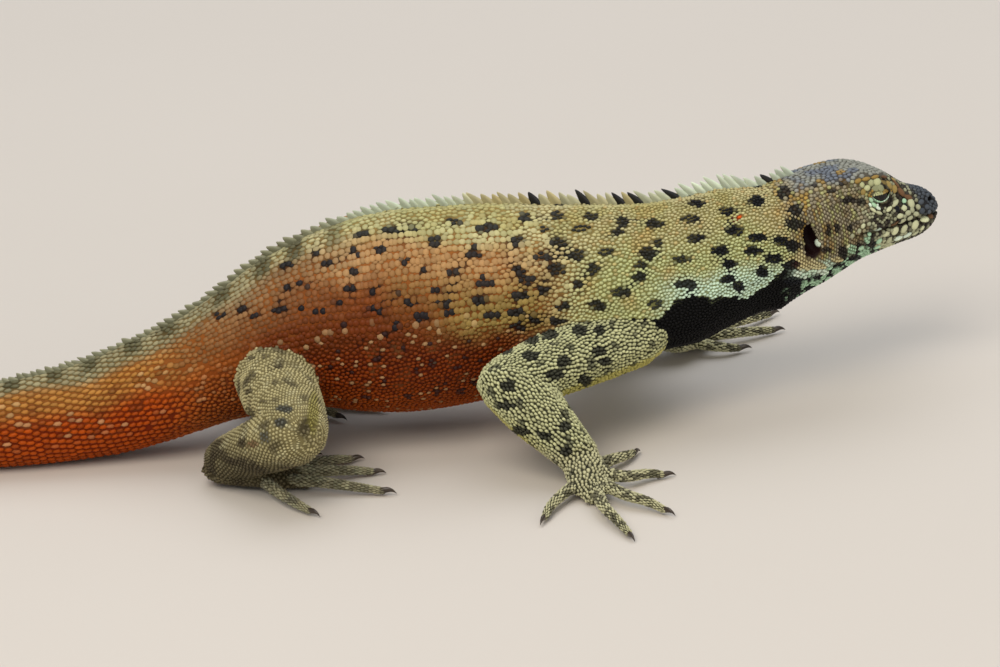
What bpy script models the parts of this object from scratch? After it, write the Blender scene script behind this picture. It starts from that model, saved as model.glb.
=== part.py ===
"""Galapagos lava lizard, a large male, life-size and still, on a flat floor.

The animal faces +X, its right side faces -Y and the floor is z = 0. Sizes and places are in
millimetres in the animal's own frame and become metres where a mesh is made. The trunk is one
lofted form parted into tail lengths, torso and neck; the head is a loft of its own, parted at
the mouth; each limb is a chain of lofted lengths mitred where they meet.
"""

import math
import random
from collections import namedtuple

import bmesh
import bpy
from mathutils import Matrix, Vector

MM = 0.001

# Driving sizes

GAP = 0.3
FLOOR_SINK = 0.35
FRAME_SHIFT = Vector((-4.7, 7.1, 0.0))
HEAD_TURN = math.radians(22.0)
HEAD_TIP = math.radians(4.0)
NAPE = Vector((134.0, 1.0, 0.0))
HEAD_TIP_AXIS_Z = 30.0

TRUNK_SIDES = 24
HEAD_SIDES = 40
LIMB_SIDES = 12
DIGIT_SIDES = 6

# The trunk from the tip of the tail to the nape. A height of None lies on the floor. Roof is how
# far the back rises to a ridge, and lean how many degrees the ridge tips to the left.
Station = namedtuple("Station", "x y z width height roof lean")
TRUNK = [
    Station(-153.0, 36.0, None, 1.1, 1.3, 0.0, 0.0),
    Station(-134.0, 28.0, None, 2.9, 3.3, 0.0, 0.0),
    Station(-104.0, 17.0, None, 5.6, 6.2, 0.1, 0.0),
    Station(-72.0, 8.0, None, 8.6, 9.4, 0.2, 0.0),
    Station(-40.0, 2.4, None, 11.7, 12.8, 0.3, 0.0),
    Station(-9.0, 0.2, None, 14.6, 16.0, 0.4, 0.0),
    Station(9.6, 0.0, 9.5, 16.6, 18.4, 0.5, 1.0),
    Station(18.8, 0.0, 11.9, 18.3, 20.0, 0.55, 3.0),
    Station(28.1, 0.0, 15.1, 20.6, 21.6, 0.6, 5.0),
    Station(37.4, 0.0, 18.5, 24.5, 25.3, 0.6, 7.0),
    Station(46.6, 0.0, 21.6, 28.6, 30.6, 0.6, 8.0),
    Station(55.7, 0.0, 22.9, 32.2, 35.4, 0.65, 8.0),
    Station(64.7, 0.0, 23.4, 34.2, 37.8, 0.7, 8.0),
    Station(73.6, 0.0, 23.7, 34.4, 37.3, 0.7, 8.0),
    Station(82.6, 0.0, 24.2, 33.0, 35.6, 0.7, 8.0),
    Station(91.5, 0.0, 24.6, 31.0, 32.9, 0.65, 8.0),
    Station(100.5, 0.0, 25.1, 28.8, 30.3, 0.6, 8.0),
    Station(109.5, 0.0, 25.6, 25.8, 28.0, 0.55, 7.0),
    Station(118.5, 0.1, 26.4, 22.6, 27.8, 0.5, 6.0),
    Station(127.6, 0.4, 27.4, 20.2, 27.6, 0.4, 5.0),
    Station(136.6, 1.4, 30.4, 19.0, 22.6, 0.3, 2.0),
]

# Where the trunk is parted, as x along it, and the number of rings of each length.
TRUNK_LENGTHS = [
    ("tail_5", -153.0, -121.0, 8),
    ("tail_4", -121.0, -85.0, 9),
    ("tail_3", -85.0, -46.0, 10),
    ("tail_2", -46.0, -9.0, 10),
    ("tail_1", -9.0, 30.0, 11),
    ("torso", 30.0, 111.0, 24),
    ("neck", 111.0, 131.2, 9),
]
NECK_END = TRUNK_LENGTHS[-1][2]

# The head has a frame of its own: x forward from the nape, y to its left, z up. It is turned to
# the left about the nape and tips a little to the left. Each outline curve is a few (x, value)
# points from nape to snout; half widths are named _y and heights _z.
HEAD_BACK = -3.0
HEAD_FRONT = 30.6
HEAD_RING_COUNT = 26
HEAD_RING_CROWDING = 1.35
HEAD_CURVES = {
    "crown_z": [(-3, 40.6), (3, 40.9), (8, 41.0), (13, 40.6), (17, 39.7), (19.5, 38.5),
                (21.5, 36.9), (23.6, 35.2), (25.6, 34.1), (27.5, 33.4), (29.3, 31.9),
                (30.3, 30.3), (30.6, 29.4)],
    "brow_y": [(-3, 5.0), (8, 5.6), (14, 5.6), (17, 5.2), (20, 4.4), (23.5, 3.3), (27, 2.6),
               (29.3, 1.7), (30.6, 0.15)],
    "brow_z": [(-3, 39.2), (8, 40.2), (13.5, 40.2), (17, 39.3), (19.2, 38.0), (21.3, 36.2),
               (23.6, 34.4), (27.5, 32.7), (29.3, 31.4), (30.6, 29.35)],
    "temple_y": [(-3, 8.4), (4, 8.7), (9, 7.9), (14, 6.9), (17, 6.3), (20.5, 5.0), (24, 4.0),
                 (27.5, 3.1), (29.6, 1.9), (30.6, 0.2)],
    "temple_z": [(-3, 35.4), (8, 35.8), (16.5, 35.0), (22, 33.0), (27.5, 30.9), (30.6, 29.25)],
    "cheek_y": [(-3, 9.4), (3, 9.9), (8, 9.6), (13, 8.5), (17, 7.4), (20.5, 6.2), (24, 4.9),
                (27.5, 3.7), (29.5, 2.2), (30.6, 0.25)],
    "cheek_z": [(-3, 30.0), (5, 30.4), (12, 30.8), (20, 30.4), (26, 29.7), (29.5, 29.3),
                (30.6, 29.1)],
    "jaw_y": [(-3, 6.2), (3, 6.8), (8, 6.9), (12, 6.4), (17, 5.5), (22, 4.4), (26.5, 3.2),
              (29.5, 1.5), (30.6, 0.15)],
    "jaw_z": [(-3, 22.6), (5, 24.2), (11, 25.6), (17, 26.0), (23, 26.2), (27, 26.6),
              (29.5, 27.6), (30.6, 28.9)],
    "throat_z": [(-3, 16.6), (-0.8, 17.9), (2.8, 19.3), (6.8, 20.4), (10, 21.7), (13, 22.9),
                 (17, 23.6), (21, 24.1), (25.4, 24.4), (28, 25.3), (29.8, 26.8), (30.6, 28.7)],
}

MOUTH_CORNER = Vector((9.5, 0.0, 30.1))
MOUTH_FRONT_Z = 28.6
JAW_HINGE_FOOT_X = 5.5
JAW_SPACE_HALF_WIDTH = 16.0
JAW_SPACE_FLOOR_Z = 12.0
JAW_SPACE_OVERHANG = 3.0

EYE_CENTRE = Vector((16.3, 4.4, 35.5))
EYE_RADIUS = 2.5
LID_RADII = (3.35, 3.05, 2.95)
LID_OPENING_RADII = (1.75, 2.4, 0.95)
LID_OPENING_OFFSET = Vector((0.1, 2.6, 0.15))
EAR_CENTRE = Vector((0.9, 9.7, 31.6))
EAR_RADII = (1.6, 2.6, 3.1)
EAR_TILT = math.radians(-10.0)
NOSTRIL_CENTRE = Vector((27.9, 2.6, 31.4))
NOSTRIL_RADII = (0.65, 0.7, 0.5)

# Limbs: joints, then half widths across and half depths along each length
ARM_R = {
    "shoulder": Vector((105.5, -9.0, 18.4)),
    "elbow": Vector((82.8, -23.4, 16.8)),
    "wrist": Vector((94.2, -30.8, 4.4)),
}
ARM_L = {
    "shoulder": Vector((106.0, 10.0, 18.8)),
    "elbow": Vector((97.0, 29.0, 14.2)),
    "wrist": Vector((114.2, 22.0, 4.4)),
}
UPPER_ARM_RADII = [(6.6, 6.4), (6.6, 6.2), (6.2, 5.8), (5.4, 5.2)]
FOREARM_RADII = [(5.9, 5.7), (5.8, 5.5), (4.8, 4.6), (4.0, 3.5)]

HAND_R = [(-0.6, 1.4, 4.6, 3.5, 3.0), (0.3, -1.6, 3.6, 3.8, 2.9), (0.9, -4.6, 2.6, 3.9, 2.4),
          (1.2, -7.2, 1.8, 3.3, 1.9), (1.4, -9.4, 1.2, 2.0, 1.2)]
HAND_HEADING_L = math.radians(135.0)

LEG_R = {
    "hip": Vector((40.6, -6.0, 17.0)),
    "knee": Vector((45.2, -31.3, 14.2)),
    "ankle": Vector((32.2, -18.8, 5.0)),
}
LEG_L = {
    "hip": Vector((40.0, 8.0, 17.0)),
    "knee": Vector((53.0, 30.5, 13.5)),
    "ankle": Vector((38.0, 16.5, 5.2)),
}
THIGH_RADII = [(7.2, 7.4), (7.2, 7.3), (6.9, 7.0), (6.0, 6.0)]
SHANK_RADII = [(5.9, 5.9), (5.6, 5.6), (4.9, 4.9), (4.4, 4.3)]
FOOT_R = [(-1.2, 0.4, 4.3, 3.9, 3.9), (3.0, -1.0, 3.6, 4.0, 3.4), (7.0, -2.2, 2.7, 4.1, 2.5),
          (10.4, -3.2, 1.9, 3.5, 1.8), (13.0, -4.0, 1.3, 2.1, 1.2)]
FOOT_TURN_L = math.radians(24.0)
TOES_TURN_L = math.radians(-7.0)

# Digits: root, two bends and tip as (x, y, z)
FINGERS_R = [
    [(97.0, -29.6, 2.4), (99.6, -27.3, 2.2), (102.0, -25.0, 1.7), (103.6, -22.2, 1.0)],
    [(97.6, -33.4, 2.4), (101.4, -35.4, 2.3), (105.4, -33.4, 1.6), (108.2, -32.7, 0.9)],
    [(96.8, -36.2, 2.3), (100.6, -42.4, 2.2), (104.8, -45.4, 1.6), (107.6, -48.2, 0.9)],
    [(96.0, -37.0, 2.2), (97.0, -46.0, 2.1), (99.2, -51.8, 1.5), (101.0, -56.6, 0.9)],
    [(94.8, -35.0, 2.4), (91.4, -38.6, 2.1), (88.2, -43.2, 1.5), (86.9, -46.8, 0.9)],
]
FINGERS_L = [
    [(116.4, 23.6, 2.4), (119.6, 21.6, 2.2), (123.0, 21.0, 1.6), (125.6, 21.8, 0.9)],
    [(118.2, 25.8, 2.4), (123.0, 26.2, 2.2), (128.2, 27.6, 1.6), (132.4, 29.2, 0.9)],
    [(118.4, 28.0, 2.3), (123.2, 30.6, 2.2), (128.6, 34.0, 1.6), (132.4, 37.2, 0.9)],
    [(117.6, 29.0, 2.3), (120.4, 34.4, 2.1), (123.8, 38.8, 1.5), (126.6, 42.6, 0.9)],
    [(115.2, 27.6, 2.4), (114.0, 32.0, 2.1), (112.4, 36.2, 1.5), (112.0, 39.4, 0.9)],
]
TOES_R = [
    [(37.5, -19.5, 2.4), (41.6, -15.0, 2.2), (44.4, -12.2, 1.6), (46.8, -10.6, 0.9)],
    [(40.0, -20.6, 2.4), (45.8, -17.4, 2.2), (50.6, -15.2, 1.6), (54.0, -13.9, 0.9)],
    [(41.0, -22.2, 2.3), (47.6, -21.3, 2.3), (53.6, -20.6, 1.6), (57.6, -20.3, 0.9)],
    [(41.0, -23.4, 2.2), (47.2, -25.6, 2.3), (54.0, -27.8, 1.6), (59.4, -29.4, 0.9)],
    [(38.0, -22.8, 2.4), (41.0, -28.6, 2.1), (44.0, -32.6, 1.5), (46.6, -35.4, 0.9)],
]
CLAW_LENGTH = 2.3
# A claw's rings: how far out, as a share of its length, how high, and size against the digit's tip
CLAW_RINGS = ((0.12, 0.1, 0.62), (0.45, 0.28, 0.42), (0.8, 0.02, 0.24), (1.0, -0.5, 0.07))
DIGIT_RADII = (1.35, 1.15, 0.95, 0.7)
# A limb length's rounded end: how far out and how wide, as shares of its last ring's half width
LIMB_END_CAPS = ((0.55, 0.84), (0.88, 0.48))
LIMB_RINGS_PER_POINT = 3
LIMB_CUTTER_FROM = -9.0
LIMB_CUTTER_RINGS = 44

# Crest of spines along the ridge of the back, as (x, height) of a spine
CREST_HEIGHTS = [(-88.0, 0.6), (-40.0, 0.9), (0.0, 1.2), (35.0, 1.4), (70.0, 1.9), (90.0, 2.2),
                 (110.0, 2.6), (126.0, 2.9), (136.0, 2.3)]
CREST_PITCH = 2.35
CREST_SPINE_LENGTH = 1.5
CREST_SPINE_THICKNESS = 1.0
CREST_SWEEP = 0.6
CREST_ROOT = 1.0
CREST_END_MARGIN = 1.6
CREST_SEED = 11
HEAD_CREST_COUNT = 3
HEAD_CREST_HEIGHT = 2.2
HEAD_CREST_FALL = 0.22

# Colours as sRGB hex
COLOURS = {
    "skin_fore": "#a9a46a",
    "skin_rust": "#a4562c",
    "skin_limb": "#a3a277",
    "skin_head": "#8d8761",
    "eye": "#1b1613",
}


def smooth(points, at):
    """The value at a place on a smooth curve through (place, value) points."""
    places = [point[0] for point in points]
    values = [point[1] for point in points]
    if at <= places[0]:
        return values[0]
    if at >= places[-1]:
        return values[-1]
    last = len(places) - 1
    k = next(i for i in range(last) if at <= places[i + 1])

    def slope(i):
        low = max(i - 1, 0)
        high = min(i + 1, last)
        return (values[high] - values[low]) / (places[high] - places[low])

    span = places[k + 1] - places[k]
    u = (at - places[k]) / span
    rise = values[k] * (2 * u**3 - 3 * u**2 + 1) + values[k + 1] * (3 * u**2 - 2 * u**3)
    return rise + span * (slope(k) * (u**3 - 2 * u**2 + u) + slope(k + 1) * (u**3 - u**2))


def srgb_to_linear(hex_colour):
    channels = [int(hex_colour[i : i + 2], 16) / 255 for i in (1, 3, 5)]
    return [c / 12.92 if c <= 0.04045 else ((c + 0.055) / 1.055) ** 2.4 for c in channels]


def material(name):
    found = bpy.data.materials.get(name)
    if found:
        return found
    made = bpy.data.materials.new(name)
    made.use_nodes = True
    shader = made.node_tree.nodes["Principled BSDF"]
    shader.inputs["Base Color"].default_value = (*srgb_to_linear(COLOURS[name]), 1.0)
    shader.inputs["Roughness"].default_value = 0.12 if name == "eye" else 0.6
    shader.inputs["Metallic"].default_value = 0.0
    return made


# The animal stands under one empty, which sets the middle of its box over the origin.
for old in list(bpy.data.objects):
    bpy.data.objects.remove(old)
lizard = bpy.data.objects.new("lizard", None)
lizard.location = FRAME_SHIFT * MM
bpy.context.scene.collection.objects.link(lizard)


def add_object(name, bm, finish=None):
    """Turns a closed bmesh in millimetres into an object of the model."""
    bmesh.ops.recalc_face_normals(bm, faces=bm.faces)
    bmesh.ops.transform(bm, matrix=Matrix.Scale(MM, 4), verts=bm.verts)
    mesh = bpy.data.meshes.new(name)
    bm.to_mesh(mesh)
    bm.free()
    made = bpy.data.objects.new(name, mesh)
    bpy.context.scene.collection.objects.link(made)
    made.parent = lizard
    if finish:
        mesh.materials.append(material(finish))
        mesh.shade_smooth()
    return made


def loft(rings, on_floor=True):
    """A closed skin over rings of equal count, with a fan at each end."""
    bm = bmesh.new()
    if on_floor:
        rings = [[Vector((p.x, p.y, max(p.z, 0.0))) for p in ring] for ring in rings]
    rows = [[bm.verts.new(point) for point in ring] for ring in rings]
    for near, far in zip(rows, rows[1:]):
        for k in range(len(near)):
            j = (k + 1) % len(near)
            bm.faces.new((near[k], near[j], far[j], far[k]))
    for ring, row in ((rings[0], rows[0]), (rings[-1], rows[-1])):
        middle = bm.verts.new(sum(ring, Vector()) / len(ring))
        for k in range(len(row)):
            bm.faces.new((row[k], row[(k + 1) % len(row)], middle))
    return bm


# Trunk


def trunk_station(x):
    """The body's section at x, read from smooth curves through the stations."""
    values = []
    for field in Station._fields[1:]:
        curve = []
        for station in TRUNK:
            value = getattr(station, field)
            if value is None:
                value = station.height / 2 - FLOOR_SINK
            curve.append((station.x, value))
        values.append(smooth(curve, x))
    return Station(x, *values)


def trunk_frame(x):
    """Centre, left and up directions of the body's section at x, with the lean applied."""
    here = trunk_station(x)
    before = trunk_station(x - 1.0)
    after = trunk_station(x + 1.0)
    along = Vector((after.x - before.x, after.y - before.y, after.z - before.z)).normalized()
    left = Vector((0, 0, 1)).cross(along).normalized()
    up = along.cross(left)
    lean = math.radians(here.lean)
    leaned_up = up * math.cos(lean) + left * math.sin(lean)
    leaned_left = left * math.cos(lean) - up * math.sin(lean)
    return Vector((here.x, here.y, here.z)), leaned_left, leaned_up


def trunk_ring(x, sides, grow=0.0):
    """Rounded section: a ridge above, fuller below."""
    here = trunk_station(x)
    centre, left, up = trunk_frame(x)
    ring = []
    for k in range(sides):
        angle = 2 * math.pi * k / sides
        s = math.sin(angle)
        c = math.cos(angle)
        power = 2.0 - 0.45 * here.roof if c > 0 else 2.15
        across = math.copysign(abs(s) ** (2 / power), s) * (here.width / 2 + grow)
        rise = math.copysign(abs(c) ** (2 / power), c) * (here.height / 2 + grow)
        ring.append(centre + left * across + up * rise)
    return ring


def head_matrix():
    """Carries the head's own frame to where the head is held."""
    tip_axis = Matrix.Translation((0.0, 0.0, HEAD_TIP_AXIS_Z))
    tip = tip_axis @ Matrix.Rotation(-HEAD_TIP, 4, "X") @ tip_axis.inverted()
    return Matrix.Translation(NAPE) @ Matrix.Rotation(HEAD_TURN, 4, "Z") @ tip


def head_ring(x, sides, grow=0.0):
    """One section of the head: a closed smooth curve through its outline curves."""
    value = {name: smooth(curve, x) for name, curve in HEAD_CURVES.items()}
    half = [
        (0.0, value["crown_z"]),
        (value["brow_y"], value["brow_z"]),
        (value["temple_y"], value["temple_z"]),
        (value["cheek_y"], value["cheek_z"]),
        (value["jaw_y"], value["jaw_z"]),
        (0.0, value["throat_z"]),
    ]
    corners = half + [(-y, z) for y, z in reversed(half[1:-1])]
    count = len(corners)
    middle_z = (value["crown_z"] + value["throat_z"]) / 2
    ring = []
    for k in range(sides):
        place = count * k / sides
        i = int(place)
        u = place - i
        p0, p1, p2, p3 = (corners[(i + j - 1) % count] for j in range(4))
        y, z = (
            0.5 * (2 * b + (c - a) * u + (2 * a - 5 * b + 4 * c - d) * u**2
                   + (3 * b - 3 * c + d - a) * u**3)
            for a, b, c, d in zip(p0, p1, p2, p3)
        )
        reach = math.hypot(y, z - middle_z)
        scale = 1 + grow / max(reach, 1.0)
        point = Vector((x, y * scale, middle_z + (z - middle_z) * scale))
        ring.append(head_matrix() @ point)
    return ring


def neck_ring(x, sides, grow=0.0):
    """The neck passes from the trunk's section to the head's over its front half."""
    body = trunk_ring(x, sides, grow)
    start = TRUNK_LENGTHS[-1][1] + 3.0
    u = min(max((x - start) / (NECK_END - start), 0.0), 1.0)
    blend = u * u * (3 - 2 * u)
    if blend == 0.0:
        return body
    front = head_ring(HEAD_BACK, sides, grow)
    shift = Vector((x - NECK_END, 0, 0))
    return [b.lerp(h + shift, blend) for b, h in zip(body, front)]


def trunk_rings(start, end, count, sides, grow=0.0):
    rings = []
    for k in range(count):
        x = start + (end - start) * k / (count - 1)
        make = neck_ring if x > TRUNK_LENGTHS[-1][1] else trunk_ring
        rings.append(make(x, sides, grow))
    return rings


# Boolean helpers


def solid_mesh(target, others, operation):
    """Applies one Boolean with a collection of closed meshes and removes them."""
    group = bpy.data.collections.new("pieces")
    bpy.context.scene.collection.children.link(group)
    for other in others:
        bpy.context.scene.collection.objects.unlink(other)
        group.objects.link(other)
    modifier = target.modifiers.new("fuse", "BOOLEAN")
    modifier.operand_type = "COLLECTION"
    modifier.collection = group
    modifier.operation = operation
    modifier.solver = "EXACT"
    bpy.context.view_layer.update()
    graph = bpy.context.evaluated_depsgraph_get()
    mesh = bpy.data.meshes.new_from_object(target.evaluated_get(graph))
    target.modifiers.clear()
    old = target.data
    target.data = mesh
    bpy.data.meshes.remove(old)
    for other in others:
        bpy.data.objects.remove(other)
    bpy.data.collections.remove(group)
    keep_largest(target)


def keep_largest(target):
    """Leaves only the largest closed surface of a mesh."""
    bm = bmesh.new()
    bm.from_mesh(target.data)
    bmesh.ops.remove_doubles(bm, verts=bm.verts, dist=1e-7)
    left = set(bm.verts)
    shells = []
    while left:
        shell = set()
        edge = [left.pop()]
        while edge:
            vert = edge.pop()
            shell.add(vert)
            for link in vert.link_edges:
                other = link.other_vert(vert)
                if other in left:
                    left.remove(other)
                    edge.append(other)
        shells.append(shell)
    shells.sort(key=len)
    scraps = [vert for shell in shells[:-1] for vert in shell]
    bmesh.ops.delete(bm, geom=scraps, context="VERTS")
    bm.to_mesh(target.data)
    bm.free()


def ellipsoid(name, centre, radii, turn=None, segments=12, rings=8):
    bm = bmesh.new()
    bmesh.ops.create_uvsphere(bm, u_segments=segments, v_segments=rings, radius=1.0)
    shape = Matrix.Diagonal((*radii, 1.0))
    bmesh.ops.transform(bm, matrix=(turn or Matrix()) @ shape, verts=bm.verts)
    bmesh.ops.translate(bm, vec=centre, verts=bm.verts)
    bmesh.ops.transform(bm, matrix=head_matrix(), verts=bm.verts)
    return add_object(name, bm)


def mirrored(point, side):
    return Vector((point.x, point.y * side, point.z))


# Crest


def crest_spine(foot, left, up, height, length):
    """One flattened spine that leans back, its root sunk in the ridge."""
    along = left.cross(up)
    rings = []
    levels = ((-CREST_ROOT, 0.0, 1.0), (0.35 * height, 0.25, 0.72), (height, 1.0, 0.12))
    for rise, sweep, size in levels:
        centre = foot + up * rise - along * (CREST_SWEEP * height * sweep)
        fore = along * (length / 2 * size)
        side = left * (CREST_SPINE_THICKNESS / 2 * size)
        rings.append([centre + fore, centre + side, centre - fore, centre - side])
    return add_object("spine", loft(rings, on_floor=False))


def crest_between(start, end, draw):
    """The spines of one length of the trunk, kept clear of both its ends."""
    pieces = []
    room = end - start - 2 * CREST_END_MARGIN
    count = int(room / CREST_PITCH)
    for k in range(count + 1):
        x = start + CREST_END_MARGIN + room * k / max(count, 1)
        if x < CREST_HEIGHTS[0][0]:
            continue
        height = smooth(CREST_HEIGHTS, x) * draw.uniform(0.86, 1.12)
        length = CREST_SPINE_LENGTH * draw.uniform(0.9, 1.1)
        foot = neck_ring(x, TRUNK_SIDES)[0]
        _, left, up = trunk_frame(x)
        pieces.append(crest_spine(foot, left, up, height, length))
    return pieces


def nape_crest(draw):
    """The last spines of the crest, on the back of the head."""
    pieces = []
    for k in range(HEAD_CREST_COUNT):
        x = HEAD_BACK + CREST_END_MARGIN + CREST_PITCH * k
        height = HEAD_CREST_HEIGHT * draw.uniform(0.9, 1.1) * (1 - HEAD_CREST_FALL * k)
        foot = head_ring(x, HEAD_SIDES)[0]
        turn = head_matrix().to_3x3()
        left = turn @ Vector((0, 1, 0))
        up = turn @ Vector((0, 0, 1))
        pieces.append(crest_spine(foot, left, up, height, CREST_SPINE_LENGTH))
    return pieces


def trunk_node(name, start, end, count, draw):
    begin = start + (0.0 if name == "tail_5" else GAP / 2)
    finish = end - GAP / 2
    colour = "skin_fore" if name == "neck" else "skin_rust"
    node = add_object(name, loft(trunk_rings(begin, finish, count, TRUNK_SIDES)), colour)
    spines = crest_between(start, end, draw)
    if spines:
        solid_mesh(node, spines, "UNION")
    return node


# Head


def mouth_region(inset):
    """The block of space that the lower jaw fills, below the mouth and ahead of its corner."""
    front = HEAD_FRONT + JAW_SPACE_OVERHANG
    outline = [
        (MOUTH_CORNER.x + inset, MOUTH_CORNER.z - inset),
        (front, MOUTH_FRONT_Z - inset),
        (front, JAW_SPACE_FLOOR_Z),
        (JAW_HINGE_FOOT_X + inset, JAW_SPACE_FLOOR_Z),
    ]
    bm = bmesh.new()
    face = bm.faces.new([bm.verts.new((x, -JAW_SPACE_HALF_WIDTH, z)) for x, z in outline])
    made = bmesh.ops.extrude_face_region(bm, geom=[face])
    far = [item for item in made["geom"] if isinstance(item, bmesh.types.BMVert)]
    bmesh.ops.translate(bm, vec=(0.0, 2 * JAW_SPACE_HALF_WIDTH, 0.0), verts=far)
    bmesh.ops.transform(bm, matrix=head_matrix(), verts=bm.verts)
    return bm


def head_rings(sides):
    """Rings along the head, closer together towards the snout."""
    start = HEAD_BACK + GAP / 2
    rings = []
    for k in range(HEAD_RING_COUNT):
        u = k / (HEAD_RING_COUNT - 1)
        x = start + (HEAD_FRONT - start) * (1 - (1 - u) ** HEAD_RING_CROWDING)
        rings.append(head_ring(x, sides))
    return rings


def build_head(draw):
    head = add_object("head", loft(head_rings(HEAD_SIDES)), "skin_head")
    jaw = add_object("lower_jaw", loft(head_rings(HEAD_SIDES)), "skin_head")
    lids = [
        ellipsoid("lid", mirrored(EYE_CENTRE, side), LID_RADII) for side in (-1, 1)
    ]
    solid_mesh(head, lids + nape_crest(draw), "UNION")
    cuts = [add_object("jaw_space", mouth_region(-GAP / 2))]
    socket = EYE_RADIUS + GAP
    ear_tilt = Matrix.Rotation(EAR_TILT, 4, "Y")
    for side in (-1, 1):
        opening = mirrored(EYE_CENTRE + LID_OPENING_OFFSET, side)
        nostril = mirrored(NOSTRIL_CENTRE, side)
        cuts.append(ellipsoid("socket", mirrored(EYE_CENTRE, side), (socket, socket, socket)))
        cuts.append(ellipsoid("opening", opening, LID_OPENING_RADII))
        cuts.append(ellipsoid("ear", mirrored(EAR_CENTRE, side), EAR_RADII, ear_tilt))
        cuts.append(ellipsoid("nostril", nostril, NOSTRIL_RADII, segments=8, rings=6))
    solid_mesh(head, cuts, "DIFFERENCE")
    solid_mesh(jaw, [add_object("jaw_space", mouth_region(GAP / 2))], "INTERSECT")
    for side, name in ((-1, "eye_R"), (1, "eye_L")):
        radii = (EYE_RADIUS, EYE_RADIUS, EYE_RADIUS)
        eye = ellipsoid(name, mirrored(EYE_CENTRE, side), radii)
        eye.data.materials.append(material("eye"))
        eye.data.shade_smooth()


# Limbs


def tube_rings(points, radii, sides, grow=0.0, round_ends=True):
    """Oval rings along a smooth path, with rounded ends if asked for."""
    last = len(points) - 1
    path = []
    for k in range(last * LIMB_RINGS_PER_POINT + 1):
        place = k / LIMB_RINGS_PER_POINT
        path.append([smooth([(i, p[axis]) for i, p in enumerate(points)], place)
                     for axis in range(3)]
                    + [smooth([(i, r[axis]) for i, r in enumerate(radii)], place) + grow
                       for axis in range(2)])
    rings = []
    count = len(path)
    for k, (x, y, z, across, deep) in enumerate(path):
        before = Vector(path[max(k - 1, 0)][:3])
        after = Vector(path[min(k + 1, count - 1)][:3])
        along = (after - before).normalized()
        side = Vector((0, 0, 1)).cross(along)
        side = side.normalized() if side.length > 0.05 else Vector((0, 1, 0))
        up = along.cross(side)
        rings.append((Vector((x, y, z)), along, side * across, up * deep))
    if round_ends:
        first = rings[0]
        final = rings[-1]
        reach = [first[2].length, final[2].length]
        front = [(final[0] + final[1] * reach[1] * out, final[1], final[2] * size,
                  final[3] * size) for out, size in LIMB_END_CAPS]
        back = [(first[0] - first[1] * reach[0] * out, first[1], first[2] * size,
                 first[3] * size) for out, size in reversed(LIMB_END_CAPS)]
        rings = back + rings + front
    loops = []
    for centre, _, side, up in rings:
        loops.append([centre + side * math.sin(2 * math.pi * k / sides)
                      + up * math.cos(2 * math.pi * k / sides) for k in range(sides)])
    return loops


def mitre(bm, joint, before, after, keep_before):
    """Cuts a limb length on the plane that halves the bend at a joint."""
    normal = ((joint - before).normalized() + (after - joint).normalized()).normalized()
    face_point = joint - normal * (GAP / 2) if keep_before else joint + normal * (GAP / 2)
    bmesh.ops.bisect_plane(
        bm,
        geom=bm.verts[:] + bm.edges[:] + bm.faces[:],
        dist=1e-5,
        plane_co=face_point,
        plane_no=normal,
        clear_outer=keep_before,
        clear_inner=not keep_before,
    )
    rim = [edge for edge in bm.edges if edge.is_boundary]
    bmesh.ops.holes_fill(bm, edges=rim, sides=0)
    bmesh.ops.triangulate(bm, faces=[face for face in bm.faces if len(face.verts) > 4])


def between(start, end, count):
    return [start.lerp(end, k / (count - 1)) for k in range(count)]


def hand_points(wrist, shape, heading):
    """Centre line and half sizes of a palm or sole, turned in plan about its wrist or ankle."""
    turn = Matrix.Rotation(heading, 3, "Z")
    base = Vector((wrist.x, wrist.y, 0.0))
    points = [base + turn @ Vector(row[:3]) for row in shape]
    radii = [(row[3], row[4]) for row in shape]
    return points, radii


def limb_cutter():
    """The trunk grown by the gap, which trims whatever grows from it."""
    rings = trunk_rings(LIMB_CUTTER_FROM, NECK_END - 1.0, LIMB_CUTTER_RINGS, TRUNK_SIDES, GAP)
    return add_object("trunk_space", loft(rings, on_floor=False))


def build_limb(names, joints, end_points, end_radii, upper_radii, lower_radii):
    """Upper length, lower length and palm or sole of one limb."""
    root, middle, end = joints
    upper = loft(tube_rings(between(root, middle, 4), upper_radii, LIMB_SIDES))
    mitre(upper, middle, root, end, True)
    upper_node = add_object(names[0], upper, "skin_limb")
    solid_mesh(upper_node, [limb_cutter()], "DIFFERENCE")
    lower = loft(tube_rings(between(middle, end, 4), lower_radii, LIMB_SIDES))
    mitre(lower, middle, root, end, False)
    mitre(lower, end, middle, end_points[2], True)
    lower_node = add_object(names[1], lower, "skin_limb")
    solid_mesh(lower_node, [limb_cutter()], "DIFFERENCE")
    palm = loft(tube_rings(end_points, end_radii, LIMB_SIDES))
    mitre(palm, end, middle, end_points[2], False)
    add_object(names[2], palm, "skin_limb")


def digit_rings(points):
    """A digit that thins to its last joint and ends in a down-curved claw."""
    points = [Vector(p) for p in points]
    thick = [(r, r) for r in DIGIT_RADII]
    rings = tube_rings(points, thick, DIGIT_SIDES, round_ends=False)
    heading = points[-1] - points[-2]
    heading.z = 0.0
    heading.normalize()
    tip = points[-1]
    side = Vector((0, 0, 1)).cross(heading)
    for out, rise, size in CLAW_RINGS:
        centre = tip + heading * (CLAW_LENGTH * out) + Vector((0, 0, rise))
        reach = DIGIT_RADII[-1] * size
        centre.z = max(centre.z, reach * 0.6)
        rings.append([centre + side * (reach * math.sin(2 * math.pi * k / DIGIT_SIDES))
                      + Vector((0, 0, reach * math.cos(2 * math.pi * k / DIGIT_SIDES)))
                      for k in range(DIGIT_SIDES)])
    return rings


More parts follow.
